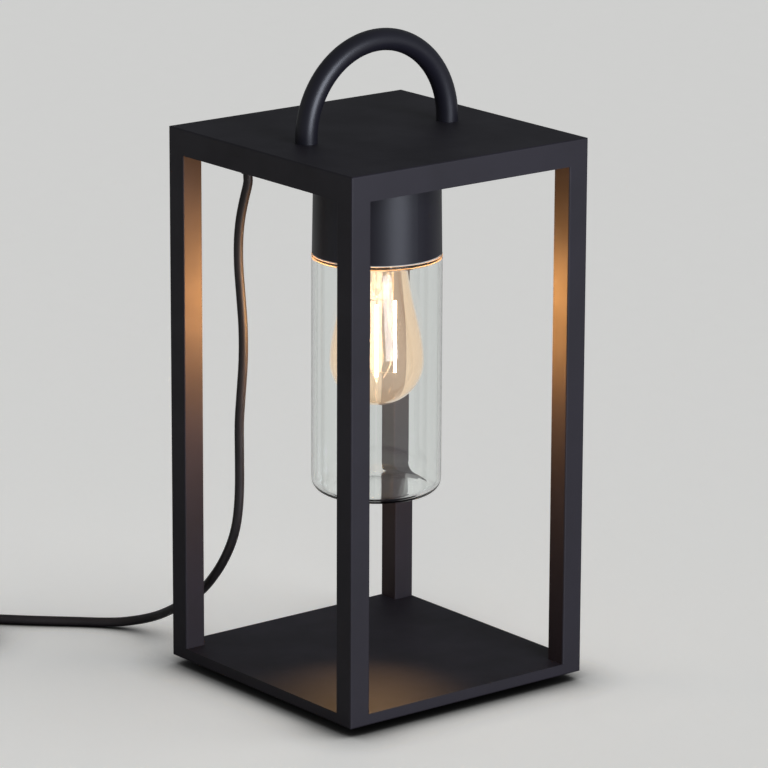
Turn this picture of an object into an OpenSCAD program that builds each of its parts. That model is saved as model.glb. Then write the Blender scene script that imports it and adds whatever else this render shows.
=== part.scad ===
// Lantern table lamp.
// An open square frame of four posts between a base plate and a hollow top, with a bow handle.
// A cup under the top carries a clear screwed-on glass, and inside it hangs a large filament lamp.
// The mains lead leaves the underside of the top, falls to the floor and lies coiled beside the lamp.
// Millimetres, +Z up. The origin is on the floor, under the middle of the frame.

/* [Frame] */
// Side of the square footprint
frame_w = 200; // [185:1:240]
// Height of the frame from the underside of the base plate to the top face
frame_h = 374; // [345:1:430]
// Side of the square posts
post_w = 16; // [14:0.5:19]
// Wall of the post tube
post_wall = 1.6; // [1.2:0.1:2.4]
// Radius on the outer edges of the frame
edge_r = 1.2; // [0.6:0.1:1.8]

/* [Base] */
// Height of the base plate's edge
base_h = 8; // [7:0.5:12]
// Thickness of the base plate's deck
base_skin = 3; // [2.5:0.1:4]
// Thickness of the base plate's rim
base_rim = 3; // [2.5:0.1:5]
// Thickness of the ribs under the base plate
rib_t = 3; // [2:0.5:5]
// Height that the rubber feet stand out below the base plate
foot_h = 6; // [4:0.5:10]
// Diameter of a rubber foot
foot_d = 24; // [18:0.5:28]
// Distance from the frame's side to the middle of a foot
foot_inset = 33; // [24:0.5:40]

/* [Top] */
// Height of the top's edge
top_h = 18; // [17:0.5:24]
// Thickness of the top's skin
top_skin = 3; // [2:0.1:4]
// Thickness of the top's side walls
top_wall = 3; // [2:0.1:4]
// Thickness of the plate that closes the top from below
plate_t = 2.5; // [2.3:0.1:3.5]
// Gap all round the closing plate
plate_gap = 0.3; // [0.15:0.05:0.6]
// Distance from the frame's side to a closing screw
plate_screw_inset = 12; // [11:0.5:20]
// Diameter of the bosses for the closing screws
plate_boss_d = 9; // [7.5:0.5:11]

/* [Handle] */
// Diameter of the handle bar
handle_d = 15; // [12:0.5:18]
// Distance between the centres of the handle's legs
handle_span = 120; // [100:1:135]
// Straight length of each leg under the bend
handle_leg = 2.5; // [1:0.5:20]
// Thickness of the pads under the top's skin that take the handle screws
handle_pad_t = 2.5; // [1:0.5:3]
// Diameter of the pads that take the handle screws
handle_pad_d = 18; // [14:0.5:24]

/* [Lamp cup] */
// Height of the cup below the top
cup_h = 64; // [60:0.5:76]
// Diameter of the cup where it meets the top
cup_top_d = 86; // [84:0.5:88]
// Diameter of the cup at its rim
cup_rim_d = 88; // [87:0.5:92]
// Side wall of the cup
cup_wall = 2.2; // [1.6:0.1:2.4]
// Thickness of the cup's end wall
cup_end_t = 3; // [2:0.5:4]
// Distance between the two screws that hold the cup
cup_screw_span = 52; // [44:1:60]
// Diameter of the wire hole through the plate and the cup
wire_hole_d = 9; // [7:0.5:10]
// Distance from the lamp's axis to the wire hole
wire_hole_y = 20; // [18:0.5:24]

/* [Glass] */
// Outside diameter of the glass
glass_d = 88.5; // [86:0.5:92]
// Length of the glass from its shoulder to its underside
glass_h = 166; // [150:1:185]
// Wall of the glass
glass_wall = 3; // [2.5:0.1:4.5]
// Thickness of the bottom of the glass
glass_floor = 4; // [3:0.5:8]
// Outside radius of the bottom corner
glass_corner_r = 10; // [7:0.5:14]
// Outside diameter of the threaded neck
neck_d = 80; // [78:0.5:80.5]
// Inside diameter of the threaded neck
neck_bore_d = 74; // [70:0.5:74.5]
// Height of the threaded neck above the shoulder
neck_h = 10; // [8:0.5:12]
// Height of the rounded thread ridges above the neck
ridge_h = 0.9; // [0.6:0.1:1]
// Distance between the thread ridges
ridge_pitch = 4; // [3.5:0.5:5]
// Gap between the thread ridges and the cup
neck_gap = 0.4; // [0.3:0.05:0.6]
// Thickness of the silicone gasket
gasket_t = 1; // [0.8:0.1:2]

/* [Lamp holder] */
// Height of the bracket between the cup and the holder
bracket_h = 9; // [8:0.5:14]
// Width of the bracket's strip
bracket_w = 13; // [12:0.5:16]
// Thickness of the bracket's strip
bracket_t = 1.5; // [1:0.1:2]
// Distance between the outer faces of the bracket's upright parts
bracket_span = 38; // [36:1:40]
// Diameter of the ceramic body
holder_d = 44; // [40:0.5:48]
// Height of the ceramic body
holder_h = 48; // [44:1:54]
// Distance between the screws that hold the ceramic body
holder_screw_span = 24; // [22:0.5:26]
// Bore of the ceramic body
holder_bore_d = 29.4; // [29:0.1:31]
// Depth of the bore
holder_bore_h = 34; // [32:0.5:38]
// Inside diameter of the brass screw shell
shell_d = 27.2; // [27:0.1:28]
// Thickness of the screw shell
shell_t = 0.6; // [0.4:0.1:0.8]

/* [Filament lamp] */
// Overall length of the filament lamp
bulb_h = 142; // [136:1:148]
// Largest diameter of its envelope
bulb_d = 64; // [60:0.5:66]
// Height of the largest diameter above the tip
bulb_belly = 30; // [26:0.5:36]
// Thickness of the envelope
bulb_wall = 1; // [0.8:0.1:1.5]
// Diameter of its screw cap over the ridges
cap_d = 26.2; // [26:0.1:26.5]
// Height of its screw cap
cap_h = 23; // [21:0.5:25]
// Length of one luminous filament
filament_h = 50; // [40:1:56]
// Diameter of one luminous filament
filament_d = 2; // [1.4:0.1:2.6]
// Distance from the lamp's axis to a filament
filament_r = 12.4; // [9:0.1:15]
// Height of the filaments' lower ends above the tip
filament_z = 22; // [18:0.5:28]

/* [Mains lead] */
// Diameter of the lead
cord_d = 6.5; // [6:0.1:6.8]
// Outside diameter of the gland's thread
gland_d = 12; // [11:0.5:14]
// Length of the tapered bend relief below its flange
relief_h = 9; // [8:0.5:14]
// Turns of the coil
coil_turns = 5; // [3:1:6]
// Radius of the coil at the middle of its turns
coil_r = 36; // [34:0.5:40]
// Gap between neighbouring turns
coil_gap = 0.6; // [0.5:0.1:1.2]
// Width of the coil's tie
tie_w = 9; // [6:0.5:14]
// Thickness of the coil's tie
tie_t = 0.8; // [0.5:0.1:1]

// Distance from the frame's -X side to the lead's exit
exit_inset_x = 42; // [36:1:50]
// Distance from the frame's -Y side to the lead's exit
exit_inset_y = 35; // [32:1:45]

/* [Plug] */
// Diameter of the plug's face
plug_d = 37; // [35:0.5:39]
// Length of the plug's cylindrical front
plug_front = 14; // [10:0.5:18]
// Length of its tapered grip
plug_grip = 26; // [20:0.5:32]
// Diameter of the grip's end
plug_end_d = 24; // [20:0.5:26]
// Length of the bend relief behind the plug
plug_relief = 28; // [22:1:40]
// Diameter of a contact pin
pin_d = 4.8; // [4:0.1:5]
// Length of a contact pin
pin_h = 19; // [17:0.5:20]
// Distance between the contact pins
pin_span = 19; // [17:0.5:20]

/* [Hidden] */
$fn = 64;

// Colours of the finishes
powder_coat = [0.16, 0.165, 0.18];
rubber_black = [0.10, 0.09, 0.09];
zinc = [0.72, 0.72, 0.70];
brass = [0.80, 0.64, 0.32];
nickel = [0.78, 0.77, 0.74];
porcelain = [0.93, 0.92, 0.88];
clear_glass = [0.82, 0.86, 0.86, 0.35];
amber_glass = [0.92, 0.80, 0.58, 0.4];
glow = [1.0, 0.86, 0.6];

// Fits that every piece shares
cut = 1;              // how far a cut runs past a face
thread_gap = 0.1;     // between a screw and its tapped hole, on the diameter
pass_gap = 0.4;       // between a screw and the hole that it passes through, on the diameter
seat_gap = 0.05;      // round a countersunk head
bore_gap = 0.2;       // between the lead and the bore that holds it, on the diameter

// Screws: thread, head diameter, head height
m4 = 4;
m4_pan_d = 7.6;
m4_pan_h = 2.6;
m4_flat_d = 7.4;
m4_flat_h = 1.9;
m4_nut_w = 7;
m4_nut_h = 3.2;
m3 = 3;
m3_pan_d = 5.6;
m3_pan_h = 2;
m5 = 5;
m5_pan_d = 9;
m5_pan_h = 3.2;
m5_washer_d = 11;
m5_washer_t = 1;
drive_share = 0.5;    // of a head's diameter, across its hexagon socket
drive_depth = 0.55;   // of a head's height

// Levels, from the floor up
deck_z = foot_h + base_h;
top_z = foot_h + frame_h;
under_z = top_z - top_h;
plate_z = under_z + plate_t;
skin_z = top_z - top_skin;
cup_end_z = under_z - cup_end_t;
rim_z = under_z - cup_h;
shoulder_z = rim_z - gasket_t;
glass_z = shoulder_z - glass_h;
holder_top_z = cup_end_z - bracket_h;
holder_z = holder_top_z - holder_h;
contact_seat = 0.3;   // between the lamp's contact and the holder's
contact_strip_t = 0.7;
bulb_top_z = holder_z + holder_bore_h - 1.4 - contact_strip_t - contact_seat;
bulb_tip_z = bulb_top_z - bulb_h;
post_mid = (frame_w - post_w) / 2;

// Tie rods
rod_head_d = 7;
rod_head_h = 4;
rod_recess = 0.4;     // the head's depth below the plate's underside
rod_bite = 10;        // how far the rods reach into the top
plate_bite = 8;       // how far the closing screws reach into their bosses

// Feet
foot_taper = 1.5;     // on the radius
foot_well_d = 10;
foot_well_h = foot_h - 2;
foot_bite = base_h - 3;

// Cup mouth
mouth_d = neck_d + 2 * ridge_h + 2 * neck_gap;
mouth_h = neck_h + 2;

// Lamp cap and envelope
button_d = 9.4;
button_h = 1.2;
insulator_h = 3.4;
insulator_top_d = 12;
insulator_d = 21;
cap_wall = 0.5;
cap_ridges = 4;
cap_pitch = 3.6;
cap_ridge_h = 0.6;
cap_skirt_h = 4;
cap_z = bulb_top_z - button_h - insulator_h - cap_h;
neck_r = cap_d / 2 - cap_ridge_h - cap_wall - 0.2;
stem_gap = 0.1;

// Gland
flange_d = 18;
flange_h = 3;
gland_nut_w = 16;
gland_nut_h = 4.5;
gland_top = 2;        // thread that shows above the nut
relief_tip_d = cord_d + 2.2;
corner = -frame_w / 2; // of the frame, on -X and on -Y
gland_x = corner + exit_inset_x;
gland_y = corner + exit_inset_y;

// Wiring
lead_d = 1.9;
lead_gap = 1.05;      // between a lead and the skin of the top
block_size = [32, 17, 8.6];
block_pitch = 10;     // between its terminals
block_at = [-50, -15];
stud_at = [-50, 22];
stud_h = 8.5;
stud_washer_d = 9;
stud_washer_t = 1.2;

// The lead's free run from below the gland to the start of the coil: the distances along X and Y from the frame's
// corner, and the height above where the lead lies on the floor
lie_z = cord_d / 2 + 0.05;
run_fall = 358.7;     // from the underside of the top to the lying lead, for which the heights are given
run_shape = [
  [40.5, 33, 328.7], [39, 31, 315.7], [38, 30, 300.7], [38, 30, 282.7], [39, 31, 261.7], [40, 32, 239.7],
  [40, 32, 216.7], [39, 31, 194.7], [38, 30, 172.7], [38, 30, 150.7], [38, 30, 129.7], [38, 29, 112.7],
  [36, 28, 97.7], [31, 27, 83.7], [23, 26, 69.7], [13, 26, 57.7], [2, 26, 46.7], [-11, 26, 36.7],
  [-25, 26, 27.7], [-40, 26, 19.2], [-55, 26, 11.7], [-70, 23, 5.7], [-84, 16, 1.7], [-96, 7, 0.2],
  [-107, -4, 0], [-119, -17, 0], [-132, -31, 0], [-146, -45, 0], [-159, -59, 0.2]
];
sheath_z = plate_z + gland_nut_h + gland_top;
relief_z = under_z - flange_h - relief_h;
run_stretch = (under_z - lie_z) / run_fall;
run_route = concat(
  [for (z = [sheath_z, relief_z, relief_z - 7]) [gland_x, gland_y, z]],
  [for (p = run_shape)
    [gland_x - exit_inset_x + p[0], gland_y - exit_inset_y + p[1], lie_z + p[2] * run_stretch]]
);
// The coil's middle and the angle where the lead joins and leaves it
coil_at = [corner - 148, corner - 113];
coil_start = 135;
coil_z = tie_t + 0.35 + cord_d / 2;
coil_pitch = cord_d + coil_gap;
coil_steps = 24;
coil_in = coil_turns / 2;
coil_outer_r = coil_r + coil_in / 2 * coil_pitch;
coil_tangent = [-sin(coil_start), cos(coil_start), 0];
coil_entry = [coil_at[0] + coil_outer_r * cos(coil_start), coil_at[1] + coil_outer_r * sin(coil_start), coil_z];
coil_first = coil_entry - cord_d * coil_tangent;
coil_last = coil_entry + [0, 0, coil_pitch] + cord_d * coil_tangent;
// The lead's route from the coil to the plug: from the coil's middle, and above where the lead lies
tail_shape = [
  [-42, 21.5, 7.9], [-48, 15, 7.1], [-53, 7, 5.3], [-56.5, -2, 3.1], [-58, -12, 1.3], [-57, -22, 0.5],
  [-54, -30, 0.9]
];
tail_route = [for (p = tail_shape) [coil_at[0] + p[0], coil_at[1] + p[1], lie_z + p[2]]];
tie_angle = 80;
// Where the plug lies: the tip of its bend relief on the floor plan, and the way its pins point
plug_at = [coil_at[0] - 49, coil_at[1] - 37];
plug_turn = -54;
plug_lean = atan((plug_d - plug_end_d) / 2 / plug_grip);
plug_lift = 0.05;

// ---------- shapes that repeat ----------

// A square with rounded corners, about the origin
module round_square(side, r) {
  square([side, side - 2 * r], center = true);
  square([side - 2 * r, side], center = true);
  for (x = [-1, 1], y = [-1, 1]) translate([x * (side / 2 - r), y * (side / 2 - r)]) circle(r, $fn = 32);
}

// The side view of a square slab whose upper or lower edges are rounded
module slab_profile(side, h, r) {
  translate([-side / 2, 0]) square([side, h - r]);
  translate([-side / 2 + r, 0]) square([side - 2 * r, h]);
  for (x = [-1, 1]) translate([x * (side / 2 - r), h - r]) circle(r, $fn = 32);
}

// A square slab standing on z = 0 with its upright and upper edges rounded
module slab(side, h, r) {
  intersection() {
    linear_extrude(h) round_square(side, r);
    rotate([90, 0, 0]) translate([0, 0, -side]) linear_extrude(2 * side) slab_profile(side, h, r);
    rotate([90, 0, 90]) translate([0, 0, -side]) linear_extrude(2 * side) slab_profile(side, h, r);
  }
}

module at_corners(mid) {
  for (x = [-1, 1], y = [-1, 1]) translate([x * mid, y * mid, 0]) children();
}

// A screw with its head's outer face on z = 0 and its thread pointing up
module pan_screw(d, head_d, head_h, length) {
  difference() {
    union() {
      cylinder(h = head_h, d = head_d);
      cylinder(h = head_h + length, d = d);
    }
    translate([0, 0, -cut]) cylinder(h = cut + drive_depth * head_h, d = drive_share * head_d, $fn = 6);
  }
}

module flat_screw(d, head_d, head_h, length) {
  difference() {
    union() {
      cylinder(h = head_h, d1 = head_d, d2 = d);
      cylinder(h = length, d = d);
    }
    translate([0, 0, -cut]) cylinder(h = cut + drive_depth * head_h, d = drive_share * d, $fn = 6);
  }
}

module hex_nut(width, h, bore_d) {
  difference() {
    cylinder(h = h, d = width / cos(30), $fn = 6);
    translate([0, 0, -cut]) cylinder(h = h + 2 * cut, d = bore_d);
  }
}

// ---------- tubes along a route ----------

function unit(v) = v / norm(v);
function heading(p, i) =
  i == 0 ? unit(p[1] - p[0]) :
  i == len(p) - 1 ? unit(p[i] - p[i - 1]) :
  unit(unit(p[i] - p[i - 1]) + unit(p[i + 1] - p[i]));
// The direction of each ring's first corner, carried along the route without twist
function carried(p, i, side) =
  let (t = heading(p, i), s = unit(side - (side * t) * t))
  i == len(p) - 1 ? [s] : concat([s], carried(p, i + 1, s));

// One closed tube along a list of points, with flat ends square to its first and last stretch
module tube(route, d, sides, first_side) {
  n = len(route);
  side = carried(route, 0, first_side);
  points = [for (i = [0 : n - 1])
    let (s = side[i], u = cross(s, heading(route, i)))
    for (k = [0 : sides - 1]) route[i] + d / 2 * (cos(360 * k / sides) * s - sin(360 * k / sides) * u)];
  walls = [for (i = [0 : n - 2], k = [0 : sides - 1])
    let (a = i * sides + k, b = i * sides + (k + 1) % sides)
    each [[a, b, b + sides], [a, b + sides, a + sides]]];
  first = [for (k = [1 : sides - 2]) [0, k + 1, k]];
  last = [for (k = [1 : sides - 2]) [(n - 1) * sides, (n - 1) * sides + k, (n - 1) * sides + k + 1]];
  polyhedron(points = points, faces = concat(walls, first, last), convexity = 10);
}

// ---------- base ----------

module base_plate() color(powder_coat) difference() {
  translate([0, 0, foot_h]) mirror([0, 0, 1]) translate([0, 0, -base_h]) slab(frame_w, base_h, edge_r);
  difference() {
    translate([-frame_w / 2 + base_rim, -frame_w / 2 + base_rim, foot_h - cut])
      cube([frame_w - 2 * base_rim, frame_w - 2 * base_rim, base_h - base_skin + cut]);
    at_corners(post_mid) translate([-post_w / 2, -post_w / 2, 0]) cube([post_w, post_w, deck_z]);
    at_corners(frame_w / 2 - foot_inset) cylinder(h = deck_z, d = foot_d);
    translate([-frame_w / 2, -rib_t / 2, 0]) cube([frame_w, rib_t, deck_z]);
    translate([-rib_t / 2, -frame_w / 2, 0]) cube([rib_t, frame_w, deck_z]);
  }
  at_corners(post_mid) {
    translate([0, 0, foot_h - cut]) cylinder(h = base_h + 2 * cut, d = m4 + pass_gap);
    translate([0, 0, foot_h - cut])
      cylinder(h = cut + rod_recess + rod_head_h, d = rod_head_d + pass_gap);
  }
  at_corners(frame_w / 2 - foot_inset) translate([0, 0, foot_h - cut])
    cylinder(h = cut + foot_bite, d = m4 + thread_gap);
}

module feet() color(rubber_black) at_corners(frame_w / 2 - foot_inset) difference() {
  cylinder(h = foot_h, d1 = foot_d - 2 * foot_taper, d2 = foot_d);
  translate([0, 0, -cut]) cylinder(h = foot_h + 2 * cut, d = m4 + pass_gap);
  translate([0, 0, -cut]) cylinder(h = cut + foot_well_h, d = foot_well_d);
}

module foot_screws() color(zinc) at_corners(frame_w / 2 - foot_inset)
  translate([0, 0, foot_well_h - m4_pan_h])
    pan_screw(m4, m4_pan_d, m4_pan_h, foot_h - foot_well_h + foot_bite - 0.5);

// ---------- posts ----------

module post(x, y) color(powder_coat) translate([x * post_mid, y * post_mid, deck_z]) linear_extrude(under_z - deck_z)
  difference() {
    round_square(post_w, edge_r);
    square(post_w - 2 * post_wall, center = true);
  }

module post_front() post(1, -1);
module post_right() post(1, 1);
module post_back() post(-1, 1);
module post_left() post(-1, -1);

module tie_rods() color(zinc) at_corners(post_mid) translate([0, 0, foot_h + rod_recess])
  pan_screw(m4, rod_head_d, rod_head_h, under_z + rod_bite - foot_h - rod_recess - rod_head_h);

// ---------- top ----------

module plate_screw_places() {
  for (turn = [0 : 90 : 270]) rotate(turn) translate([frame_w / 2 - plate_screw_inset, 0, 0]) children();
}

module handle_places() {
  for (y = [-1, 1]) translate([0, y * handle_span / 2, 0]) children();
}

module top_cover() color(powder_coat) difference() {
  translate([0, 0, under_z]) slab(frame_w, top_h, edge_r);
  difference() {
    translate([-frame_w / 2 + top_wall, -frame_w / 2 + top_wall, under_z - cut])
      cube([frame_w - 2 * top_wall, frame_w - 2 * top_wall, skin_z - under_z + cut]);
    at_corners(post_mid) translate([-post_w / 2, -post_w / 2, 0]) cube([post_w, post_w, top_z]);
    plate_screw_places() translate([0, 0, plate_z]) cylinder(h = top_h, d = plate_boss_d);
    handle_places() translate([0, 0, skin_z - handle_pad_t]) cylinder(h = top_h, d = handle_pad_d);
  }
  at_corners(post_mid) translate([0, 0, under_z - cut]) cylinder(h = cut + rod_bite + 0.5, d = m4 + thread_gap);
  plate_screw_places() translate([0, 0, under_z]) cylinder(h = plate_t + plate_bite + 0.5, d = m4 + thread_gap);
  handle_places() translate([0, 0, under_z]) cylinder(h = top_h + cut, d = m5 + pass_gap);
}

module handle() color(powder_coat) difference() {
  union() {
    translate([0, 0, top_z + handle_leg]) rotate([90, 0, 90])
      rotate_extrude(angle = 180, $fn = 96) translate([handle_span / 2, 0]) circle(d = handle_d);
    handle_places() translate([0, 0, top_z]) cylinder(h = handle_leg, d = handle_d);
  }
  handle_places() translate([0, 0, top_z - cut]) cylinder(h = cut + handle_bite + 1.5, d = m5 + thread_gap);
}

handle_washer_z = skin_z - handle_pad_t - m5_washer_t;
handle_bite = 9.5;    // how far the screws reach into the handle's legs

module handle_washers() color(zinc) handle_places() translate([0, 0, handle_washer_z]) difference() {
  cylinder(h = m5_washer_t, d = m5_washer_d);
  translate([0, 0, -cut]) cylinder(h = m5_washer_t + 2 * cut, d = m5 + pass_gap);
}

module handle_screws() color(zinc) handle_places() translate([0, 0, handle_washer_z - m5_pan_h])
  pan_screw(m5, m5_pan_d, m5_pan_h, top_z - handle_washer_z + handle_bite);

module ceiling_plate() color(powder_coat) difference() {
  side = frame_w - 2 * top_wall - 2 * plate_gap;
  notch = post_w - top_wall;
  translate([-side / 2, -side / 2, under_z]) cube([side, side, plate_t]);
  at_corners(side / 2) translate([-notch, -notch, 0]) cube([2 * notch, 2 * notch, top_z]);
  plate_screw_places() {
    translate([0, 0, under_z - cut]) cylinder(h = top_h, d = m4 + pass_gap);
    translate([0, 0, under_z]) cylinder(h = m4_flat_h + seat_gap, d1 = m4_flat_d + 4 * seat_gap, d2 = m4);
  }
  cup_screw_places() translate([0, 0, under_z - cut]) cylinder(h = top_h, d = m4 + pass_gap);
  translate([0, wire_hole_y, under_z - cut]) cylinder(h = top_h, d = wire_hole_d);
  translate([gland_x, gland_y, under_z - cut]) cylinder(h = top_h, d = gland_d + bore_gap);
  translate([block_at[0] - block_pitch / 2, block_at[1], under_z - cut]) cylinder(h = top_h, d = m3 + thread_gap);
  translate([stud_at[0], stud_at[1], under_z - cut]) cylinder(h = top_h, d = m4 + thread_gap);
}

module ceiling_screws() color(powder_coat) plate_screw_places() translate([0, 0, under_z])
  flat_screw(m4, m4_flat_d, m4_flat_h, plate_t + plate_bite);

// ---------- lamp cup ----------

module cup_screw_places() {
  for (x = [-1, 1]) translate([x * cup_screw_span / 2, 0, 0]) children();
}

module lamp_cup() color(powder_coat) difference() {
  translate([0, 0, rim_z]) cylinder(h = cup_h, d1 = cup_rim_d, d2 = cup_top_d, $fn = 96);
  inner_h = cup_h - cup_end_t;
  slope = (cup_rim_d - cup_top_d) / cup_h;
  bore_top_d = cup_rim_d - slope * inner_h - 2 * cup_wall;
  bore_mouth_d = cup_rim_d - slope * mouth_h - 2 * cup_wall;
  translate([0, 0, rim_z + mouth_h - 0.01])
    cylinder(h = inner_h - mouth_h + 0.01, d1 = bore_mouth_d, d2 = bore_top_d, $fn = 96);
  translate([0, 0, rim_z - cut]) cylinder(h = mouth_h + cut, d = mouth_d, $fn = 96);
  cup_screw_places() translate([0, 0, rim_z]) cylinder(h = cup_h + cut, d = m4 + pass_gap);
  translate([0, wire_hole_y, rim_z]) cylinder(h = cup_h + cut, d = wire_hole_d);
}

module holder_bracket() color(zinc) difference() {
  union() {
    translate([-bracket_span / 2, -bracket_w / 2, holder_top_z]) cube([bracket_span, bracket_w, bracket_t]);
    for (x = [-1, 1]) {
      translate([x * (bracket_span - bracket_t) / 2 - bracket_t / 2, -bracket_w / 2, holder_top_z])
        cube([bracket_t, bracket_w, bracket_h]);
      translate([x > 0 ? bracket_span / 2 - bracket_t : -foot_reach, -bracket_w / 2, cup_end_z - bracket_t])
        cube([foot_reach - bracket_span / 2 + bracket_t, bracket_w, bracket_t]);
    }
  }
  cup_screw_places() translate([0, 0, cup_end_z - bracket_t - cut])
    cylinder(h = bracket_t + 2 * cut, d = m4 + pass_gap);
  holder_screw_places() translate([0, 0, holder_top_z - cut])
    cylinder(h = bracket_t + 2 * cut, d = m3 + pass_gap);
}
foot_reach = cup_screw_span / 2 + 6;

module cup_screws() color(zinc) cup_screw_places() translate([0, 0, cup_end_z - bracket_t - m4_pan_h])
  pan_screw(m4, m4_pan_d, m4_pan_h, bracket_t + cup_end_t + plate_t + m4_nut_h + 1);

module cup_nuts() color(zinc) cup_screw_places() translate([0, 0, plate_z])
  hex_nut(m4_nut_w, m4_nut_h, m4 + thread_gap);

// ---------- lampholder ----------

module holder_screw_places() {
  for (x = [-1, 1]) translate([x * holder_screw_span / 2, 0, 0]) children();
}

holder_lip = 3;
holder_screw_bite = 8;
contact_rivet_d = 3;

module lampholder_body() color(porcelain) difference() {
  union() {
    translate([0, 0, holder_z + holder_lip]) cylinder(h = holder_h - holder_lip, d = holder_d);
    translate([0, 0, holder_z]) cylinder(h = holder_lip, d1 = holder_d - 2 * holder_lip, d2 = holder_d);
  }
  translate([0, 0, holder_z - cut]) cylinder(h = holder_bore_h + cut, d = holder_bore_d);
  holder_screw_places() translate([0, 0, holder_top_z - holder_screw_bite - 1])
    cylinder(h = holder_screw_bite + 1 + cut, d = m3 + thread_gap);
  cylinder(h = top_z, d = contact_rivet_d + thread_gap);
}

// The shell hangs from its turned-in rim against the end of the ceramic bore
module lampholder_shell() color(brass) translate([0, 0, holder_z]) difference() {
  shell_low = 6;
  translate([0, 0, shell_low]) cylinder(h = holder_bore_h - shell_low, d = shell_d + 2 * shell_t);
  translate([0, 0, shell_low - cut]) cylinder(h = holder_bore_h - shell_low + cut - shell_t, d = shell_d);
  cylinder(h = holder_bore_h + cut, d = shell_d - 2);
}

module lampholder_contact() color(brass) {
  strip_z = bulb_top_z + contact_seat;
  bore_end_z = holder_z + holder_bore_h;
  translate([-9, -3, strip_z]) cube([18, 6, contact_strip_t]);
  translate([0, 0, strip_z + contact_strip_t]) cylinder(h = bore_end_z - strip_z - contact_strip_t, d = 6);
  translate([0, 0, bore_end_z]) cylinder(h = holder_top_z - bore_end_z - 1, d = contact_rivet_d);
}

module lampholder_screws() color(zinc) holder_screw_places()
  translate([0, 0, holder_top_z + bracket_t + m3_pan_h]) mirror([0, 0, 1])
    pan_screw(m3, m3_pan_d, m3_pan_h, bracket_t + holder_screw_bite);

// ---------- wiring inside the top ----------

module terminal_block() color(porcelain) translate([block_at[0], block_at[1], plate_z]) difference() {
  translate([-block_size[0] / 2, -block_size[1] / 2, 0]) cube(block_size);
  for (x = [-1 : 1], y = [-1, 1]) translate([x * block_pitch, y * block_size[1] / 4, block_size[2] / 2])
    cylinder(h = block_size[2], d = 3.4);
  translate([-block_pitch / 2, 0, -cut]) cylinder(h = block_size[2] + 2 * cut, d = m3 + pass_gap);
}

module terminal_screw() color(zinc)
  translate([block_at[0] - block_pitch / 2, block_at[1], plate_z + block_size[2] + m3_pan_h]) mirror([0, 0, 1])
    pan_screw(m3, m3_pan_d, m3_pan_h, block_size[2] + plate_t);

module earth_terminal() color(brass) translate([stud_at[0], stud_at[1], 0]) {
  translate([0, 0, under_z]) cylinder(h = plate_t + stud_h, d = m4);
  translate([0, 0, plate_z]) difference() {
    cylinder(h = stud_washer_t, d = stud_washer_d);
    translate([0, 0, -cut]) cylinder(h = stud_washer_t + 2 * cut, d = m4 + thread_gap);
  }
  translate([0, 0, plate_z + stud_washer_t]) hex_nut(m4_nut_w, m4_nut_h, m4 + thread_gap);
}

// Each lead is two tubes: from the end of the outer sheath to the block, and on from the block.
// high_z is the highest that a lead's middle may lie under the skin; the other levels hang from it or from the plate.
high_z = skin_z - lead_gap - lead_d / 2;
rise_z = (sheath_z + high_z) / 2;
wire_z = plate_z + 6;
over_z = plate_z + 7.5;
holder_wire_z = holder_top_z + lead_d / 2;
block_front = block_at[1] - block_size[1] / 2;
block_back = block_at[1] + block_size[1] / 2;

module lead(inlet, outlet) {
  tube(inlet, lead_d, 8, [1, 0, 0]);
  tube(outlet, lead_d, 8, [1, 0, 0]);
}

// The stretch from the sheath's end to the block's front, for the core at the given place in the sheath
function block_inlet(core, top, over, low) =
  [[gland_x + core[0], gland_y + core[1], sheath_z], [gland_x + core[0], gland_y + core[1], (sheath_z + top) / 2],
   [gland_x + 2 * core[0], gland_y + core[1] + 2.6, top],
   [gland_x + over, gland_y + 8, top],
   [(gland_x + 2 * over + low) / 2, (gland_y + 8 + block_front) / 2, rise_z],
   [low, block_front - 8.5, wire_z], [low, block_front, wire_z]];

module live_lead() color("saddlebrown") lead(
  block_inlet([-1.2, -0.8], high_z, -3, block_at[0] - block_pitch),
  [[block_at[0] - block_pitch, block_back, wire_z], [block_at[0] - block_pitch, block_back + 6.5, high_z - 3.5],
   [block_at[0] - 6, block_back + 14.5, high_z - 3], [-40, wire_hole_y - 4, high_z - 3],
   [-15, wire_hole_y, high_z - 3], [-5, wire_hole_y + 0.6, over_z - 2], [-2, wire_hole_y + 0.6, under_z + 2],
   [-2, wire_hole_y + 0.6, cup_end_z - 5], [-6, wire_hole_y - 5, holder_wire_z]]
);

module neutral_lead() color("steelblue") lead(
  block_inlet([1.2, -0.8], high_z, 3, block_at[0] + block_pitch),
  [[block_at[0] + block_pitch, block_back, wire_z], [block_at[0] + 12, block_back + 8.5, high_z - 3],
   [block_at[0] + 22, wire_hole_y - 9, high_z - 2.5], [-12, wire_hole_y - 5, high_z - 2.5],
   [-1, wire_hole_y - 3, over_z - 1], [2, wire_hole_y - 1.5, under_z + 2],
   [2, wire_hole_y - 1.5, cup_end_z - 5], [6, wire_hole_y - 5, holder_wire_z]]
);

module earth_lead() color("yellowgreen") lead(
  block_inlet([0, 1.25], high_z - 0.6, 0, block_at[0]),
  [[block_at[0], block_back, wire_z], [block_at[0], block_back + 6.5, plate_z + 5.5],
   [block_at[0], stud_at[1] - 12, plate_z + 3.5],
   [stud_at[0], stud_at[1] - m4_nut_w / 2 - 1.1, plate_z + stud_washer_t + 1.2]]
);

// ---------- cord gland ----------

module cord_gland() color(rubber_black) translate([gland_x, gland_y, 0]) difference() {
  union() {
    translate([0, 0, under_z]) cylinder(h = plate_t + gland_nut_h + gland_top, d = gland_d);
    translate([0, 0, under_z - flange_h]) cylinder(h = flange_h, d = flange_d);
    translate([0, 0, under_z - flange_h - relief_h])
      cylinder(h = relief_h, d1 = relief_tip_d, d2 = gland_d);
  }
  cylinder(h = top_z, d = cord_d + bore_gap);
}

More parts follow.
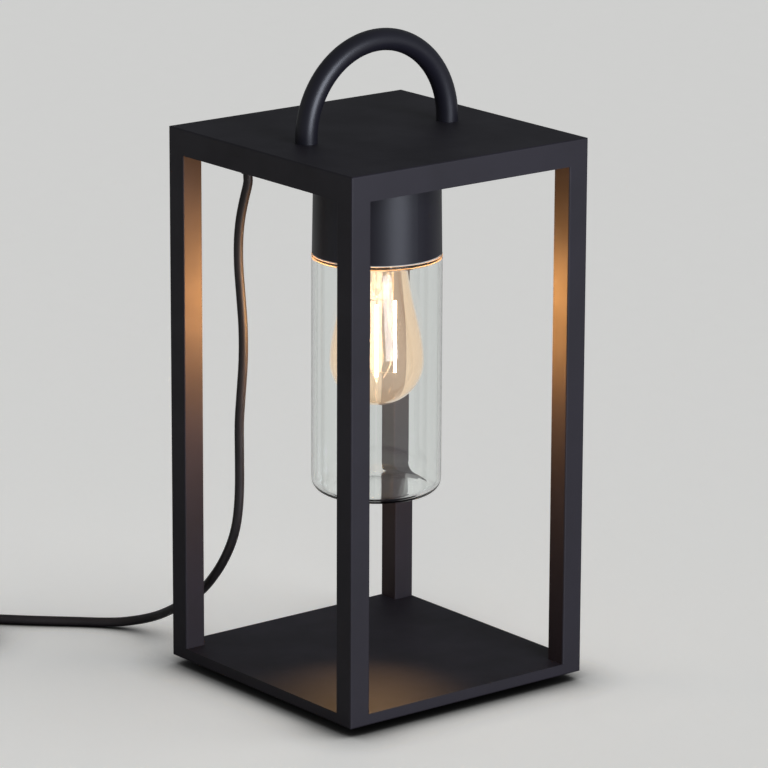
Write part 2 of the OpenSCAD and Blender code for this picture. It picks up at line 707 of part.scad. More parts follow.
module gland_nut() color(rubber_black) translate([gland_x, gland_y, plate_z])
  hex_nut(gland_nut_w, gland_nut_h, gland_d + thread_gap);

// ---------- glass ----------

module glass_gasket() color([0.55, 0.53, 0.50]) translate([0, 0, shoulder_z]) difference() {
  cylinder(h = gasket_t, d = min(cup_rim_d, glass_d) - 0.6, $fn = 96);
  translate([0, 0, -cut]) cylinder(h = gasket_t + 2 * cut, d = neck_d + 1, $fn = 96);
}

// Half of the outline of a tumbler: straight side, rounded bottom corner
module tumbler_profile(r, low, high, corner) {
  translate([0, low + corner]) square([r, high - low - corner]);
  translate([0, low]) square([r - corner, high - low]);
  intersection() {
    translate([r - corner, low + corner]) circle(corner, $fn = 64);
    translate([0, low]) square([r, high - low]);
  }
}

module glass_cylinder() color(clear_glass) rotate_extrude($fn = 128) difference() {
  union() {
    tumbler_profile(glass_d / 2, glass_z, shoulder_z, glass_corner_r);
    translate([0, shoulder_z - 1]) square([neck_d / 2, neck_h + 1]);
    for (k = [0 : 1]) intersection() {
      translate([neck_d / 2 - ridge_h, shoulder_z + gasket_t + 2 + k * ridge_pitch]) circle(2 * ridge_h, $fn = 32);
      translate([neck_d / 2 - 1, shoulder_z]) square([ridge_h + 1, neck_h]);
    }
  }
  tumbler_profile(glass_d / 2 - glass_wall, glass_z + glass_floor, shoulder_z - glass_wall,
    glass_corner_r - glass_wall + 1);
  translate([0, shoulder_z - glass_wall - cut]) square([neck_bore_d / 2, glass_wall + neck_h + 2 * cut]);
}

// ---------- filament lamp ----------

function arc_points(r, h, from, to, steps) =
  [for (k = [0 : steps]) let (a = from + (to - from) * k / steps) [r * cos(a), h * sin(a)]];
function curve_points(a, b, c, d, steps) =
  [for (k = [1 : steps]) let (t = k / steps, s = 1 - t)
    s * s * s * a + 3 * s * s * t * b + 3 * s * t * t * c + t * t * t * d];

// The envelope's outline from the tip up to the neck, drawn in by the given thickness
function envelope(t) =
  let (
    belly = bulb_tip_z + bulb_belly,
    waist = belly + 0.53 * (cap_z - belly) + 16,
    waist_r = 0.66 * bulb_d / 2,
    shoulder = arc_points(bulb_d / 2 - t, bulb_belly - t, -90, 0, 9),
    flank = curve_points([bulb_d / 2 - t, belly], [bulb_d / 2 - t, belly + 19], [waist_r + 3.4 - t, waist - 26],
      [waist_r - t, waist], 7),
    throat = curve_points([waist_r - t, waist], [waist_r - 1.6 - t, waist + 10], [neck_r - t, cap_z - 9],
      [neck_r - t, cap_z + 2], 6)
  )
  concat([for (p = shoulder) [p[0], p[1] + belly]], flank, throat);

module bulb_glass() color(amber_glass) rotate_extrude($fn = 64) {
  outer = envelope(0);
  inner = envelope(bulb_wall);
  polygon(concat(outer, [for (i = [len(inner) - 1 : -1 : 0]) inner[i]]));
}

module bulb_cap() color(nickel) translate([0, 0, cap_z]) rotate_extrude($fn = 64) {
  ridge_r = 1.1;
  root_r = cap_d / 2 - cap_ridge_h;
  top_r = insulator_d / 2;
  bevel = root_r - top_r;
  difference() {
    union() {
      square([cap_d / 2, cap_skirt_h - 1]);
      square([root_r, cap_h - bevel]);
      polygon([[0, cap_h - bevel], [root_r, cap_h - bevel], [top_r, cap_h], [0, cap_h]]);
      for (k = [0 : cap_ridges - 1]) intersection() {
        translate([cap_d / 2 - ridge_r, cap_skirt_h + (k + 0.5) * cap_pitch]) circle(ridge_r, $fn = 16);
        translate([root_r - 0.3, 0]) square([1, cap_h]);
      }
    }
    translate([0, -cut]) square([root_r - cap_wall, cap_h - bevel + cut]);
    polygon([[0, cap_h - bevel - cut], [root_r - cap_wall, cap_h - bevel - cut], [root_r - cap_wall, cap_h - bevel],
      [top_r - cap_wall, cap_h - cap_wall], [0, cap_h - cap_wall]]);
    square([top_r - 2, cap_h + cut]);
  }
}

module bulb_insulator() color("black") translate([0, 0, cap_z + cap_h])
  cylinder(h = insulator_h, d1 = insulator_d, d2 = insulator_top_d);

module bulb_contact() color(nickel) translate([0, 0, cap_z + cap_h + insulator_h]) {
  cylinder(h = button_h - 0.4, d = button_d);
  translate([0, 0, button_h - 0.4]) cylinder(h = 0.4, d1 = button_d, d2 = button_d - 2);
}

filament_top_z = bulb_tip_z + filament_z + filament_h;
filament_low_z = bulb_tip_z + filament_z;
support_d = 0.7;
stem_rod_d = 2.4;

module bulb_stem() color(clear_glass) rotate_extrude($fn = 48) {
  flare_r = neck_r - bulb_wall - stem_gap;
  flare_z = cap_z + 1;
  pinch_z = filament_top_z + 8;
  polygon(concat(
    [[0, filament_low_z - 2], [stem_rod_d / 2, filament_low_z - 2], [stem_rod_d / 2, pinch_z - 4],
     [3.4, pinch_z], [3.4, pinch_z + 6]],
    curve_points([3.4, pinch_z + 6], [4, flare_z - 10], [flare_r - 1, flare_z - 6], [flare_r, flare_z], 8),
    [[flare_r - 1, flare_z], [0, flare_z]]
  ));
}

module filament_places() {
  for (turn = [-39 : 90 : 231]) rotate(turn) translate([filament_r, 0, 0]) children();
}

module led_filaments() color(glow) filament_places() translate([0, 0, filament_low_z]) cylinder(h = filament_h, d = filament_d);

module filament_supports() color(zinc) for (z = [filament_low_z - support_d / 2, filament_top_z + support_d / 2])
  for (turn = [-39 : 90 : 231]) rotate(turn) translate([stem_rod_d / 2 + 0.02, 0, z]) rotate([0, 90, 0])
    cylinder(h = filament_r + filament_d / 2 - stem_rod_d / 2, d = support_d, $fn = 16);

// ---------- lead, coil and tie ----------

module cord_run() color(rubber_black)
  tube(concat(run_route, [coil_first - cord_d * coil_tangent, coil_first]), cord_d, 8, [0, 1, 0]);

// The coil spirals in on the floor layer and out again on the layer above
function smooth(u) = let (c = min(1, max(0, u))) c * c * (3 - 2 * c);
function coil_point(t) =
  let (
    r = coil_outer_r - coil_pitch * min(t, 2 * coil_in - t),
    z = coil_z + coil_pitch * smooth((t - coil_in + 0.25) / 0.5),
    a = coil_start + 360 * t
  )
  [coil_at[0] + r * cos(a), coil_at[1] + r * sin(a), z];
coil_line = [for (k = [0 : coil_steps * coil_turns]) coil_point(k / coil_steps)];
coil_route = concat([coil_first], coil_line, [coil_last]);

// Least distance from a turn to any other turn, surface to surface
coil_own_gap = min([for (i = [0 : len(coil_line) - 1], j = [i + coil_steps / 2 : 1 : len(coil_line) - 1])
  norm(coil_line[i] - coil_line[j])]) - cord_d;
echo(coil_least_gap_mm = coil_own_gap);

module cord_coil() color(rubber_black) tube(coil_route, cord_d, 6, [0, 0, 1]);

module cord_tail() color(rubber_black)
  tube(concat([coil_last, coil_last + cord_d * coil_tangent], tail_route, [plug_tip - cord_d * plug_axis, plug_tip]),
    cord_d, 8, [0, 0, 1]);

// The tie is a flat band round all the turns
module coil_tie() color([0.14, 0.14, 0.14]) {
  slack = 0.5;
  outer_r = coil_outer_r + cord_d / 2 + slack;
  inner_r = coil_outer_r - coil_pitch * coil_in - cord_d / 2 - slack;
  low = tie_t;
  high = coil_z + coil_pitch + cord_d / 2 + slack;
  corner = 2.5;
  translate([coil_at[0], coil_at[1], 0]) rotate(tie_angle) rotate([90, 0, 0])
    translate([0, 0, -tie_w / 2]) linear_extrude(tie_w) difference() {
      tie_outline(inner_r - tie_t, outer_r + tie_t, low - tie_t, high + tie_t, corner + tie_t);
      tie_outline(inner_r, outer_r, low, high, corner);
    }
}

module tie_outline(x0, x1, y0, y1, r) {
  translate([x0 + r, y0]) square([x1 - x0 - 2 * r, y1 - y0]);
  translate([x0, y0 + r]) square([x1 - x0, y1 - y0 - 2 * r]);
  for (x = [x0 + r, x1 - r], y = [y0 + r, y1 - r]) translate([x, y]) circle(r, $fn = 32);
}

// ---------- plug ----------

// The plug lies on the flank of its grip, so its axis leans by the taper.
// Its own z = 0 is the face of the plug, and the pins point along +z.
plug_length = plug_front + plug_grip;
plug_axis = [cos(plug_turn) * cos(plug_lean), sin(plug_turn) * cos(plug_lean), sin(plug_lean)];
plug_tip_z = plug_lift + plug_end_d / 2 * cos(plug_lean) - plug_relief * sin(plug_lean);
plug_tip = [plug_at[0], plug_at[1], plug_tip_z];

module plug_frame() {
  translate(plug_tip) rotate([0, 90 - plug_lean, plug_turn]) translate([0, 0, plug_relief + plug_length]) children();
}

strip_w = 6;
strip_t = 1;
strip_depth = 3.2;

module plug_body() color(rubber_black) plug_frame() difference() {
  union() {
    translate([0, 0, -plug_front]) cylinder(h = plug_front, d = plug_d);
    translate([0, 0, -plug_length]) cylinder(h = plug_grip, d1 = plug_end_d, d2 = plug_d);
  }
  for (side = [-1, 1]) translate([side * (plug_d / 2) - strip_depth, -strip_w / 2 - 0.5, -plug_front + 1])
    cube([2 * strip_depth, strip_w + 1, plug_front]);
  for (side = [-1, 1]) translate([0, side * pin_span / 2, -plug_front]) cylinder(h = plug_front + cut, d = pin_d + thread_gap);
  translate([plug_d / 2 - 8.5, 0, -plug_front]) cylinder(h = plug_front + cut, d = 5);
}

module plug_pins() color(nickel) plug_frame() for (side = [-1, 1]) translate([0, side * pin_span / 2, -plug_front]) {
  cylinder(h = plug_front + pin_h - pin_d / 4, d = pin_d);
  translate([0, 0, plug_front + pin_h - pin_d / 4]) cylinder(h = pin_d / 4, d1 = pin_d, d2 = pin_d / 2);
}

module plug_earth_strips() color(nickel) plug_frame() for (side = [-1, 1])
  translate([side * (plug_d / 2 - strip_depth + strip_t / 2) - strip_t / 2, -strip_w / 2, -plug_front + 1])
    cube([strip_t, strip_w, plug_front - 1.5]);

module plug_relief_sleeve() color(rubber_black) plug_frame() translate([0, 0, -plug_length - plug_relief]) difference() {
  cylinder(h = plug_relief, d1 = cord_d + 2.4, d2 = plug_end_d * 0.55);
  for (z = [4 : 4 : plug_relief - 4]) translate([0, 0, z]) difference() {
    cylinder(h = 1.2, d = plug_end_d);
    translate([0, 0, -cut]) cylinder(h = 1.2 + 2 * cut, d = cord_d + 1.6);
  }
}

base_plate();
feet();
foot_screws();
post_front();
post_right();
post_back();
post_left();
tie_rods();
top_cover();
handle();
handle_washers();
handle_screws();
ceiling_plate();
ceiling_screws();
lamp_cup();
holder_bracket();
cup_screws();
cup_nuts();
lampholder_body();
lampholder_shell();
lampholder_contact();
lampholder_screws();
terminal_block();
terminal_screw();
earth_terminal();
live_lead();
neutral_lead();
earth_lead();
cord_gland();
gland_nut();
glass_gasket();
glass_cylinder();
bulb_contact();
bulb_insulator();
bulb_cap();
bulb_glass();
bulb_stem();
filament_supports();
led_filaments();
cord_run();
cord_coil();
cord_tail();
coil_tie();
plug_relief_sleeve();
plug_body();
plug_pins();
plug_earth_strips();
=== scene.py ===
# A lantern table lamp: a powder-coated steel frame with a bow handle, a cup under its hollow top, a screwed-on
# clear glass and a large filament lamp. The sections follow the lamp as it is put together, from the base up.
import math

import bpy
from mathutils import Matrix, Vector


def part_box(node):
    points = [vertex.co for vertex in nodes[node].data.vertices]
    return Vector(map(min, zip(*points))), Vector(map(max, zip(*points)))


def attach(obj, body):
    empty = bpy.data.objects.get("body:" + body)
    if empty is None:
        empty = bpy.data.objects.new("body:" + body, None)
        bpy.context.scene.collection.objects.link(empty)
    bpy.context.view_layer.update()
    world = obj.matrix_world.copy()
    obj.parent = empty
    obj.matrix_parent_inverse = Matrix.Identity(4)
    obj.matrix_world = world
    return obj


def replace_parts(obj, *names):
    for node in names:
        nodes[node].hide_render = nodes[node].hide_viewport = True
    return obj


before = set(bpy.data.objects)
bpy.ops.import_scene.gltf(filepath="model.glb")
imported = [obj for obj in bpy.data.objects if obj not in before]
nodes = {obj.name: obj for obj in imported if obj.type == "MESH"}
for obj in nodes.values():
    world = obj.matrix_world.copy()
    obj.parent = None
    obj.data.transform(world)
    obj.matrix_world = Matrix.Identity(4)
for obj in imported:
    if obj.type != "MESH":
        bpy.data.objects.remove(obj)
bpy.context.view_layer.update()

# ---- Base plate -------------------------------------------------------------------------------------------------
# A folded steel tray, open below, with four blocks for the posts' rods and four bosses for the feet.
# It is powder coated: charged dust is blown on and baked to a hard matt skin with a fine grit.
MM = 0.001


def linear(hex_colour):
    """An sRGB hex colour as linear red, green, blue and alpha."""
    channels = [int(hex_colour[i:i + 2], 16) / 255 for i in (1, 3, 5)]
    return [c / 12.92 if c <= 0.04045 else ((c + 0.055) / 1.055) ** 2.4 for c in channels] + [1.0]


def add(tree, kind, settings=None, inputs=None):
    """Adds one node to a material, with its settings, and with values or links on its inputs."""
    made = tree.nodes.new("ShaderNode" + kind)
    for name, value in (settings or {}).items():
        setattr(made, name, value)
    for name, value in (inputs or {}).items():
        if isinstance(value, bpy.types.NodeSocket):
            tree.links.new(value, made.inputs[name])
        else:
            made.inputs[name].default_value = value
    return made


def new_finish(name):
    """An empty material and its node tree."""
    finish = bpy.data.materials.new(name)
    finish.use_nodes = True
    finish.node_tree.nodes.clear()
    return finish, finish.node_tree


def coat(node_names, finish):
    """Gives CAD nodes a finish in place of the plain one that they come with."""
    for name in node_names:
        nodes[name].data.materials.clear()
        nodes[name].data.materials.append(finish)


def mottled(tree, place, patch_size, detail, grain, spread, low, high):
    """A noise in soft patches of one size, and a colour that drifts with it between two tones."""
    patches = add(tree, "TexNoise", {}, {
        "Vector": place, "Scale": 1 / patch_size, "Detail": detail, "Roughness": grain})
    share = add(tree, "MapRange", {}, {
        "Value": patches.outputs["Fac"], "From Min": 0.5 - spread, "From Max": 0.5 + spread})
    tone = add(tree, "Mix", {"data_type": "RGBA"}, {0: share.outputs["Result"], 6: linear(low), 7: linear(high)})
    return patches.outputs["Fac"], tone.outputs[2]


def powder_coat(name, low, high, roughness, grit, relief_share):
    """Polyester powder coat: a hard dark skin with a fine grit and wide soft highlights."""
    cloud_size, grit_height, gloss_drift = 45 * MM, 0.06 * MM, 0.04
    finish, tree = new_finish(name)
    place = add(tree, "TexCoord").outputs["Object"]
    grains = add(tree, "TexNoise", {}, {"Vector": place, "Scale": 1 / grit, "Detail": 2.0, "Roughness": 0.6})
    clouds, tone = mottled(tree, place, cloud_size, 3.0, 0.55, 0.15, low, high)
    gloss = add(tree, "MapRange", {}, {
        "Value": clouds, "From Min": 0.3, "From Max": 0.7,
        "To Min": roughness + gloss_drift, "To Max": roughness - gloss_drift})
    relief = add(tree, "Bump", {}, {
        "Strength": relief_share, "Distance": grit_height, "Height": grains.outputs["Fac"]})
    skin = add(tree, "BsdfPrincipled", {}, {
        "Base Color": tone, "Roughness": gloss.outputs["Result"], "IOR": 1.5, "Normal": relief.outputs["Normal"]})
    add(tree, "OutputMaterial", {}, {"Surface": skin.outputs["BSDF"]})
    return finish


# The frame's coat is matt: the eye sees a soft even black that turns blue-grey towards the light, with a grit that
# is 0.2 mm on the real frame and is drawn at 0.9 mm, as fine as a render can show
powder = powder_coat("matt powder coat, anthracite", "#17121a", "#1c1720", 0.6, 0.9 * MM, 0.35)
coat(["base_plate"], powder)

# ---- Feet -------------------------------------------------------------------------------------------------------
# Four tapered feet, moulded from black rubber. Zinc-plated screws in wells in their soles draw them tight against
# the bosses of the base plate.


def moulded_rubber(name, low, high, roughness, dust_size):
    """Moulded rubber: soft and even, with fine pores and a bloom that greys it in patches."""
    pore_size, pore_depth = 0.5 * MM, 0.05 * MM
    finish, tree = new_finish(name)
    place = add(tree, "TexCoord").outputs["Object"]
    tone = mottled(tree, place, dust_size, 4.0, 0.6, 0.2, low, high)[1]
    pores = add(tree, "TexNoise", {}, {"Vector": place, "Scale": 1 / pore_size, "Detail": 1.0})
    relief = add(tree, "Bump", {}, {"Strength": 0.3, "Distance": pore_depth, "Height": pores.outputs["Fac"]})
    skin = add(tree, "BsdfPrincipled", {}, {
        "Base Color": tone, "Roughness": roughness, "IOR": 1.5, "Normal": relief.outputs["Normal"]})
    add(tree, "OutputMaterial", {}, {"Surface": skin.outputs["BSDF"]})
    return finish


def plated_metal(name, low, high, roughness, streak_size):
    """Plated metal: bright, with the soft streaks that turning and handling leave in its roughness."""
    smoothest, dullest = roughness - 0.06, roughness + 0.08
    finish, tree = new_finish(name)
    place = add(tree, "TexCoord").outputs["Object"]
    streaks = add(tree, "TexNoise", {}, {"Vector": place, "Scale": 1 / streak_size, "Detail": 3.0, "Roughness": 0.6})
    tone = add(tree, "Mix", {"data_type": "RGBA"}, {
        0: streaks.outputs["Fac"], 6: linear(low), 7: linear(high)})
    gloss = add(tree, "MapRange", {}, {
        "Value": streaks.outputs["Fac"], "From Min": 0.3, "From Max": 0.7,
        "To Min": smoothest, "To Max": dullest})
    skin = add(tree, "BsdfPrincipled", {}, {
        "Base Color": tone.outputs[2], "Metallic": 1.0, "Roughness": gloss.outputs["Result"]})
    add(tree, "OutputMaterial", {}, {"Surface": skin.outputs["BSDF"]})
    return finish


# Zinc-plated steel, which is a cool bright grey with a dull edge
zinc = plated_metal("zinc-plated steel", "#a9adb0", "#c9cbca", 0.32, 1.5 * MM)
# Black foot rubber, which is dull and holds dust in patches 6 mm wide
coat(["feet"], moulded_rubber("moulded foot rubber", "#141415", "#232324", 0.78, 6 * MM))
coat(["foot_screws"], zinc)

# ---- Posts ------------------------------------------------------------------------------------------------------
# Four square steel tubes, cut square and butted to the base plate and the top, flush with their sides.
# A long screw in each tube draws the base plate and the top together.
coat(["post_front", "post_right", "post_back", "post_left"], powder)
coat(["tie_rods"], zinc)

# ---- Top --------------------------------------------------------------------------------------------------------
# A hollow square lid of folded steel, closed from below by a plate on four countersunk screws.
# The wiring lies between them.
coat(["top_cover", "ceiling_plate", "ceiling_screws"], powder)

# ---- Handle -----------------------------------------------------------------------------------------------------
# A round steel bar bent to a half circle, with short straight legs, powder coated like the frame.
# Two screws from inside the top hold it, with washers under their heads.


def piece(name, points, faces, finish, body, slot_name, sharp_angle=35):
    """A mesh that rides on a body, smooth but for edges sharper than the angle."""
    mesh = bpy.data.meshes.new(name)
    mesh.from_pydata([tuple(p) for p in points], [], faces)
    mesh.validate()
    mesh.shade_smooth()
    mesh.set_sharp_from_angle(angle=math.radians(sharp_angle))
    mesh.materials.append(finish)
    made = bpy.data.objects.new(name, mesh)
    bpy.context.scene.collection.objects.link(made)
    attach(made, body)
    return made


def tube(route, radius, sides, ends=True):
    """Points and faces of a round bar along a route. radius is one size, or one for each point."""
    route = [Vector(p) for p in route]
    radii = radius if isinstance(radius, list) else [radius] * len(route)
    points, faces = [], []
    last = len(route) - 1
    way = (route[1] - route[0]).normalized()
    side = way.orthogonal().normalized()
    for i, at in enumerate(route):
        new_way = (route[min(i + 1, last)] - route[max(i - 1, 0)]).normalized()
        side.rotate(way.rotation_difference(new_way))
        way = new_way
        other = way.cross(side)
        for k in range(sides):
            turn = 2 * math.pi * k / sides
            points.append(at + radii[i] * (math.cos(turn) * side + math.sin(turn) * other))
    for i in range(last):
        for k in range(sides):
            a, b = i * sides + k, i * sides + (k + 1) % sides
            faces.append((a, b, b + sides, a + sides))
    if ends:
        faces.append(tuple(reversed(range(sides))))
        faces.append(tuple(range(last * sides, (last + 1) * sides)))
    return points, faces


# The coat flows smoother on the drawn bar and on the spun cup, so they have narrower, cooler highlights
satin_powder = powder_coat("satin powder coat, anthracite", "#17161e", "#1c1b23", 0.39, 0.9 * MM, 0.2)
handle_low, handle_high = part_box("handle")
bar_d = handle_high.x - handle_low.x
bow_r = (handle_high.y - handle_low.y - bar_d) / 2
leg_h = handle_high.z - handle_low.z - bow_r - bar_d / 2
bow = [(0, bow_r, handle_low.z)]
bow_steps = 72
for step in range(bow_steps + 1):
    turn = math.pi * step / bow_steps
    bow.append((0, bow_r * math.cos(turn), handle_low.z + leg_h + bow_r * math.sin(turn)))
bow.append((0, -bow_r, handle_low.z))
handle = piece("bow_handle", *tube(bow, bar_d / 2, 48), satin_powder, "root", "powder_coat")
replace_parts(handle, "handle")
coat(["handle_washers", "handle_screws"], zinc)

# ---- Lamp cup ---------------------------------------------------------------------------------------------------
# A spun steel cup, slightly wider at its rim, screwed to the plate through its end. Its rim is rolled over a
# little, and its mouth is thicker, because the glass screws into it. The bent strip in it carries the lampholder.


def turned(outline, steps):
    """Points and faces of a closed outline of radius and height, turned round the lamp's axis."""
    points, faces = [], []
    count = len(outline)
    for k in range(steps):
        turn = 2 * math.pi * k / steps
        points += [(r * math.cos(turn), r * math.sin(turn), z) for r, z in outline]
    for k in range(steps):
        here, there = k * count, (k + 1) % steps * count
        for i in range(count):
            j = (i + 1) % count
            faces.append((here + i, there + i, there + j, here + j))
    return points, faces


def rounded(corners, steps=5):
    """An outline from corners of radius, height and rounding, with each rounded corner drawn as an arc."""
    outline = []
    for i, (r, z, fillet) in enumerate(corners):
        at = Vector((r, z))
        if fillet <= 0:
            outline.append((r, z))
            continue
        back = (Vector(corners[i - 1][:2]) - at).normalized()
        on = (Vector(corners[(i + 1) % len(corners)][:2]) - at).normalized()
        half = back.angle(on) / 2
        reach = fillet / math.tan(half)
        middle = at + (back + on).normalized() * fillet / math.sin(half)
        start, end = at + back * reach - middle, at + on * reach - middle
        sweep = start.angle_signed(end)
        for step in range(steps + 1):
            spoke = start.copy()
            spoke.rotate(Matrix.Rotation(-sweep * step / steps, 2))
            outline.append(tuple(middle + spoke))
    return outline


# An outline starts and ends this far from the axis, where a turned piece would fold on itself
near_axis = 0.01 * MM
coat(["lamp_cup"], satin_powder)
coat(["holder_bracket", "cup_screws", "cup_nuts"], zinc)

# ---- Lampholder -------------------------------------------------------------------------------------------------
# A glazed porcelain body with a pressed brass screw shell and a sprung brass contact.
# Two zinc-plated screws hold it on the strip in the cup.


def glazed_porcelain():
    # Electrical porcelain, fired with a clear glaze. It is an even warm white with a sharp wet highlight
    # and a slight orange peel of 2 mm in the glaze.
    peel_size, peel_depth = 2 * MM, 0.1 * MM
    finish, tree = new_finish("glazed porcelain")
    place = add(tree, "TexCoord").outputs["Object"]
    peel = add(tree, "TexNoise", {}, {"Vector": place, "Scale": 1 / peel_size, "Detail": 2.0})
    tone = add(tree, "Mix", {"data_type": "RGBA"}, {
        0: peel.outputs["Fac"], 6: linear("#e4ddce"), 7: linear("#efe9dd")})
    relief = add(tree, "Bump", {}, {"Strength": 0.2, "Distance": peel_depth, "Height": peel.outputs["Fac"]})
    skin = add(tree, "BsdfPrincipled", {}, {
        "Base Color": tone.outputs[2], "Roughness": 0.16, "IOR": 1.52, "Normal": relief.outputs["Normal"]})
    add(tree, "OutputMaterial", {}, {"Surface": skin.outputs["BSDF"]})
    return finish


coat(["lampholder_body"], glazed_porcelain())
# Pressed brass, a soft yellow with faint drawing marks
brass = plated_metal("pressed brass", "#c4a052", "#dcbf74", 0.3, 1.2 * MM)
coat(["lampholder_shell", "lampholder_contact"], brass)
coat(["lampholder_screws"], zinc)

# ---- Wiring inside the top --------------------------------------------------------------------------------------
# The lead's three cores end in a terminal block on the plate. Brown and blue wires go on to the lampholder and a
# green and yellow one to the earth stud. The wires are stranded copper in soft coloured insulation.


def moulded_plastic(name, low, high, roughness, patch_size):
    """Moulded plastic: an even colour with a faint mottle and the fine texture of its mould."""
    mould_grain, grain_depth = 0.4 * MM, 0.03 * MM
    finish, tree = new_finish(name)
    place = add(tree, "TexCoord").outputs["Object"]
    tone = mottled(tree, place, patch_size, 2.0, 0.5, 0.2, low, high)[1]
    grain = add(tree, "TexNoise", {}, {"Vector": place, "Scale": 1 / mould_grain, "Detail": 1.0})
    relief = add(tree, "Bump", {}, {"Strength": 0.2, "Distance": grain_depth, "Height": grain.outputs["Fac"]})
    skin = add(tree, "BsdfPrincipled", {}, {
        "Base Color": tone, "Roughness": roughness, "IOR": 1.49, "Normal": relief.outputs["Normal"]})
    add(tree, "OutputMaterial", {}, {"Surface": skin.outputs["BSDF"]})
    return finish


def striped_insulation():
    # Green and yellow PVC insulation, extruded in two colours. The stripes cross the wire on a slant, 2.5 mm
    # apart, which is the repeat of a diagonal wave of this size.
    wave_size = 7 * MM
    finish, tree = new_finish("green and yellow PVC insulation")
    place = add(tree, "TexCoord").outputs["Object"]
    bands = add(tree, "TexWave", {"bands_direction": "DIAGONAL"}, {"Vector": place, "Scale": 1 / wave_size})
    side = add(tree, "MapRange", {}, {"Value": bands.outputs["Fac"], "From Min": 0.45, "From Max": 0.55})
    tone = add(tree, "Mix", {"data_type": "RGBA"}, {
        0: side.outputs["Result"], 6: linear("#3f8f3a"), 7: linear("#d8cf2e")})
    skin = add(tree, "BsdfPrincipled", {}, {"Base Color": tone.outputs[2], "Roughness": 0.42, "IOR": 1.53})
    add(tree, "OutputMaterial", {}, {"Surface": skin.outputs["BSDF"]})
    return finish


def smooth_route(corners, steps):
    """A soft curve through given points, with the same number of steps between each two."""
    ends = [2 * Vector(corners[0]) - Vector(corners[1])] + [Vector(c) for c in corners]
    ends.append(2 * Vector(corners[-1]) - Vector(corners[-2]))
    route = [ends[1]]
    for i in range(1, len(ends) - 2):
        a, b, c, d = ends[i - 1:i + 3]
        for step in range(1, steps + 1):
            t = step / steps
            route.append(0.5 * (2 * b + (c - a) * t + (2 * a - 5 * b + 4 * c - d) * t * t
                                + (3 * b - a - 3 * c + d) * t * t * t))
    return route


def core_wire(name, node, routes, finish, slot_name):
    """One core of the lead: a soft wire up to the terminal block and another on from it."""
    core_d, steps, sides = 1.9 * MM, 6, 12
    points, faces = [], []
    for route in routes:
        more_points, more_faces = tube(smooth_route([Vector(p) * MM for p in route], steps), core_d / 2, sides)
        faces += [tuple(i + len(points) for i in face) for face in more_faces]
        points += more_points
    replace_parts(piece(name, points, faces, finish, "root", slot_name, 60), node)


# Places in mm, as in the lamp's drawing. The wires lie between the plate at 364.5 and the skin at 377. Their
# insulation is extruded PVC, in even colours with a waxy sheen.
core_wire("brown_wire", "live_lead", [
    [(-59.2, -65.8, 371), (-59.2, -65.8, 373), (-60.4, -63.2, 375), (-61, -57, 375), (-62, -40.25, 373),
     (-60, -32, 370.5), (-60, -23.5, 370.5)],
    [(-60, -6.5, 370.5), (-60, 0, 371.5), (-56, 8, 372), (-40, 16, 372), (-15, 20, 372), (-5, 20.6, 370),
     (-2, 20.6, 364), (-2, 20.6, 354), (-6, 15, 350.95)],
], moulded_plastic("brown PVC insulation", "#4f2f1c", "#5d3a24", 0.42, 5 * MM), "wire_brown")
core_wire("blue_wire", "neutral_lead", [
    [(-56.8, -65.8, 371), (-56.8, -65.8, 373), (-55.6, -63.2, 375), (-55, -57, 375), (-46, -40.25, 373),
     (-40, -32, 370.5), (-40, -23.5, 370.5)],
    [(-40, -6.5, 370.5), (-38, 2, 372), (-28, 11, 372.5), (-12, 15, 372.5), (-1, 17, 371), (2, 18.5, 364),
     (2, 18.5, 354), (6, 15, 350.95)],
], moulded_plastic("blue PVC insulation", "#2456a4", "#2f66b8", 0.42, 5 * MM), "wire_blue")
core_wire("earth_wire", "earth_lead", [
    [(-58, -63.75, 371), (-58, -63.75, 372.7), (-58, -61.15, 374.4), (-58, -57, 374.4), (-54, -40.25, 373),
     (-50, -32, 370.5), (-50, -23.5, 370.5)],
    [(-50, -6.5, 370.5), (-50, 0, 370), (-50, 10, 368), (-50, 17.4, 366.9)],
], striped_insulation(), "wire_green_yellow")
# Natural nylon, which is milky and a little yellow
coat(["terminal_block"], moulded_plastic("moulded nylon, natural", "#dcd6c4", "#e8e2d2", 0.45, 6 * MM))
coat(["terminal_screw"], zinc)
coat(["earth_terminal"], brass)

# ---- Gland ------------------------------------------------------------------------------------------------------
# A moulded nylon gland in the plate: a flange and a tapered sleeve below that keeps the lead from kinking, and a
# hexagon nut above. It is a shade glossier than the lead.
coat(["cord_gland", "gland_nut"], moulded_plastic("black moulded nylon", "#121214", "#1c1c1f", 0.38, 5 * MM))

# ---- Gasket and glass -------------------------------------------------------------------------------------------
# A thin silicone ring lies on the shoulder of the glass. The glass is a clear blown tumbler, fire polished, with a
# rounded bottom corner and a neck with a coarse round thread that screws into the cup.


def clear_glass(name, tint, ior, roughness, lit="#ffffff", light=0.0, rim=None):
    """Clear glass that bends what is behind it, and lets lamps' light through. A lit one has a painted glow, an
    emission that stands in for the filaments' light in it, and may be darker at its rim.
    """
    finish, tree = new_finish(name)
    # Painted light: the emission below stands in for light falling on and scattered in the glass
    glow = linear(lit)
    if rim:
        edge_on = add(tree, "LayerWeight").outputs["Facing"]
        glow = add(tree, "Mix", {"data_type": "RGBA"}, {0: edge_on, 6: glow, 7: linear(rim)}).outputs[2]
    body = add(tree, "BsdfPrincipled", {}, {
        "Base Color": linear(tint), "Roughness": roughness, "IOR": ior, "Transmission Weight": 1.0,
        "Emission Color": glow, "Emission Strength": light})
    open_way = add(tree, "BsdfTransparent", {}, {"Color": linear(tint)})
    rays = add(tree, "LightPath")
    both = add(tree, "MixShader", {}, {0: rays.outputs["Is Shadow Ray"], 1: body.outputs["BSDF"],
                                       2: open_way.outputs["BSDF"]})
    add(tree, "OutputMaterial", {}, {"Surface": both.outputs["Shader"]})
    return finish


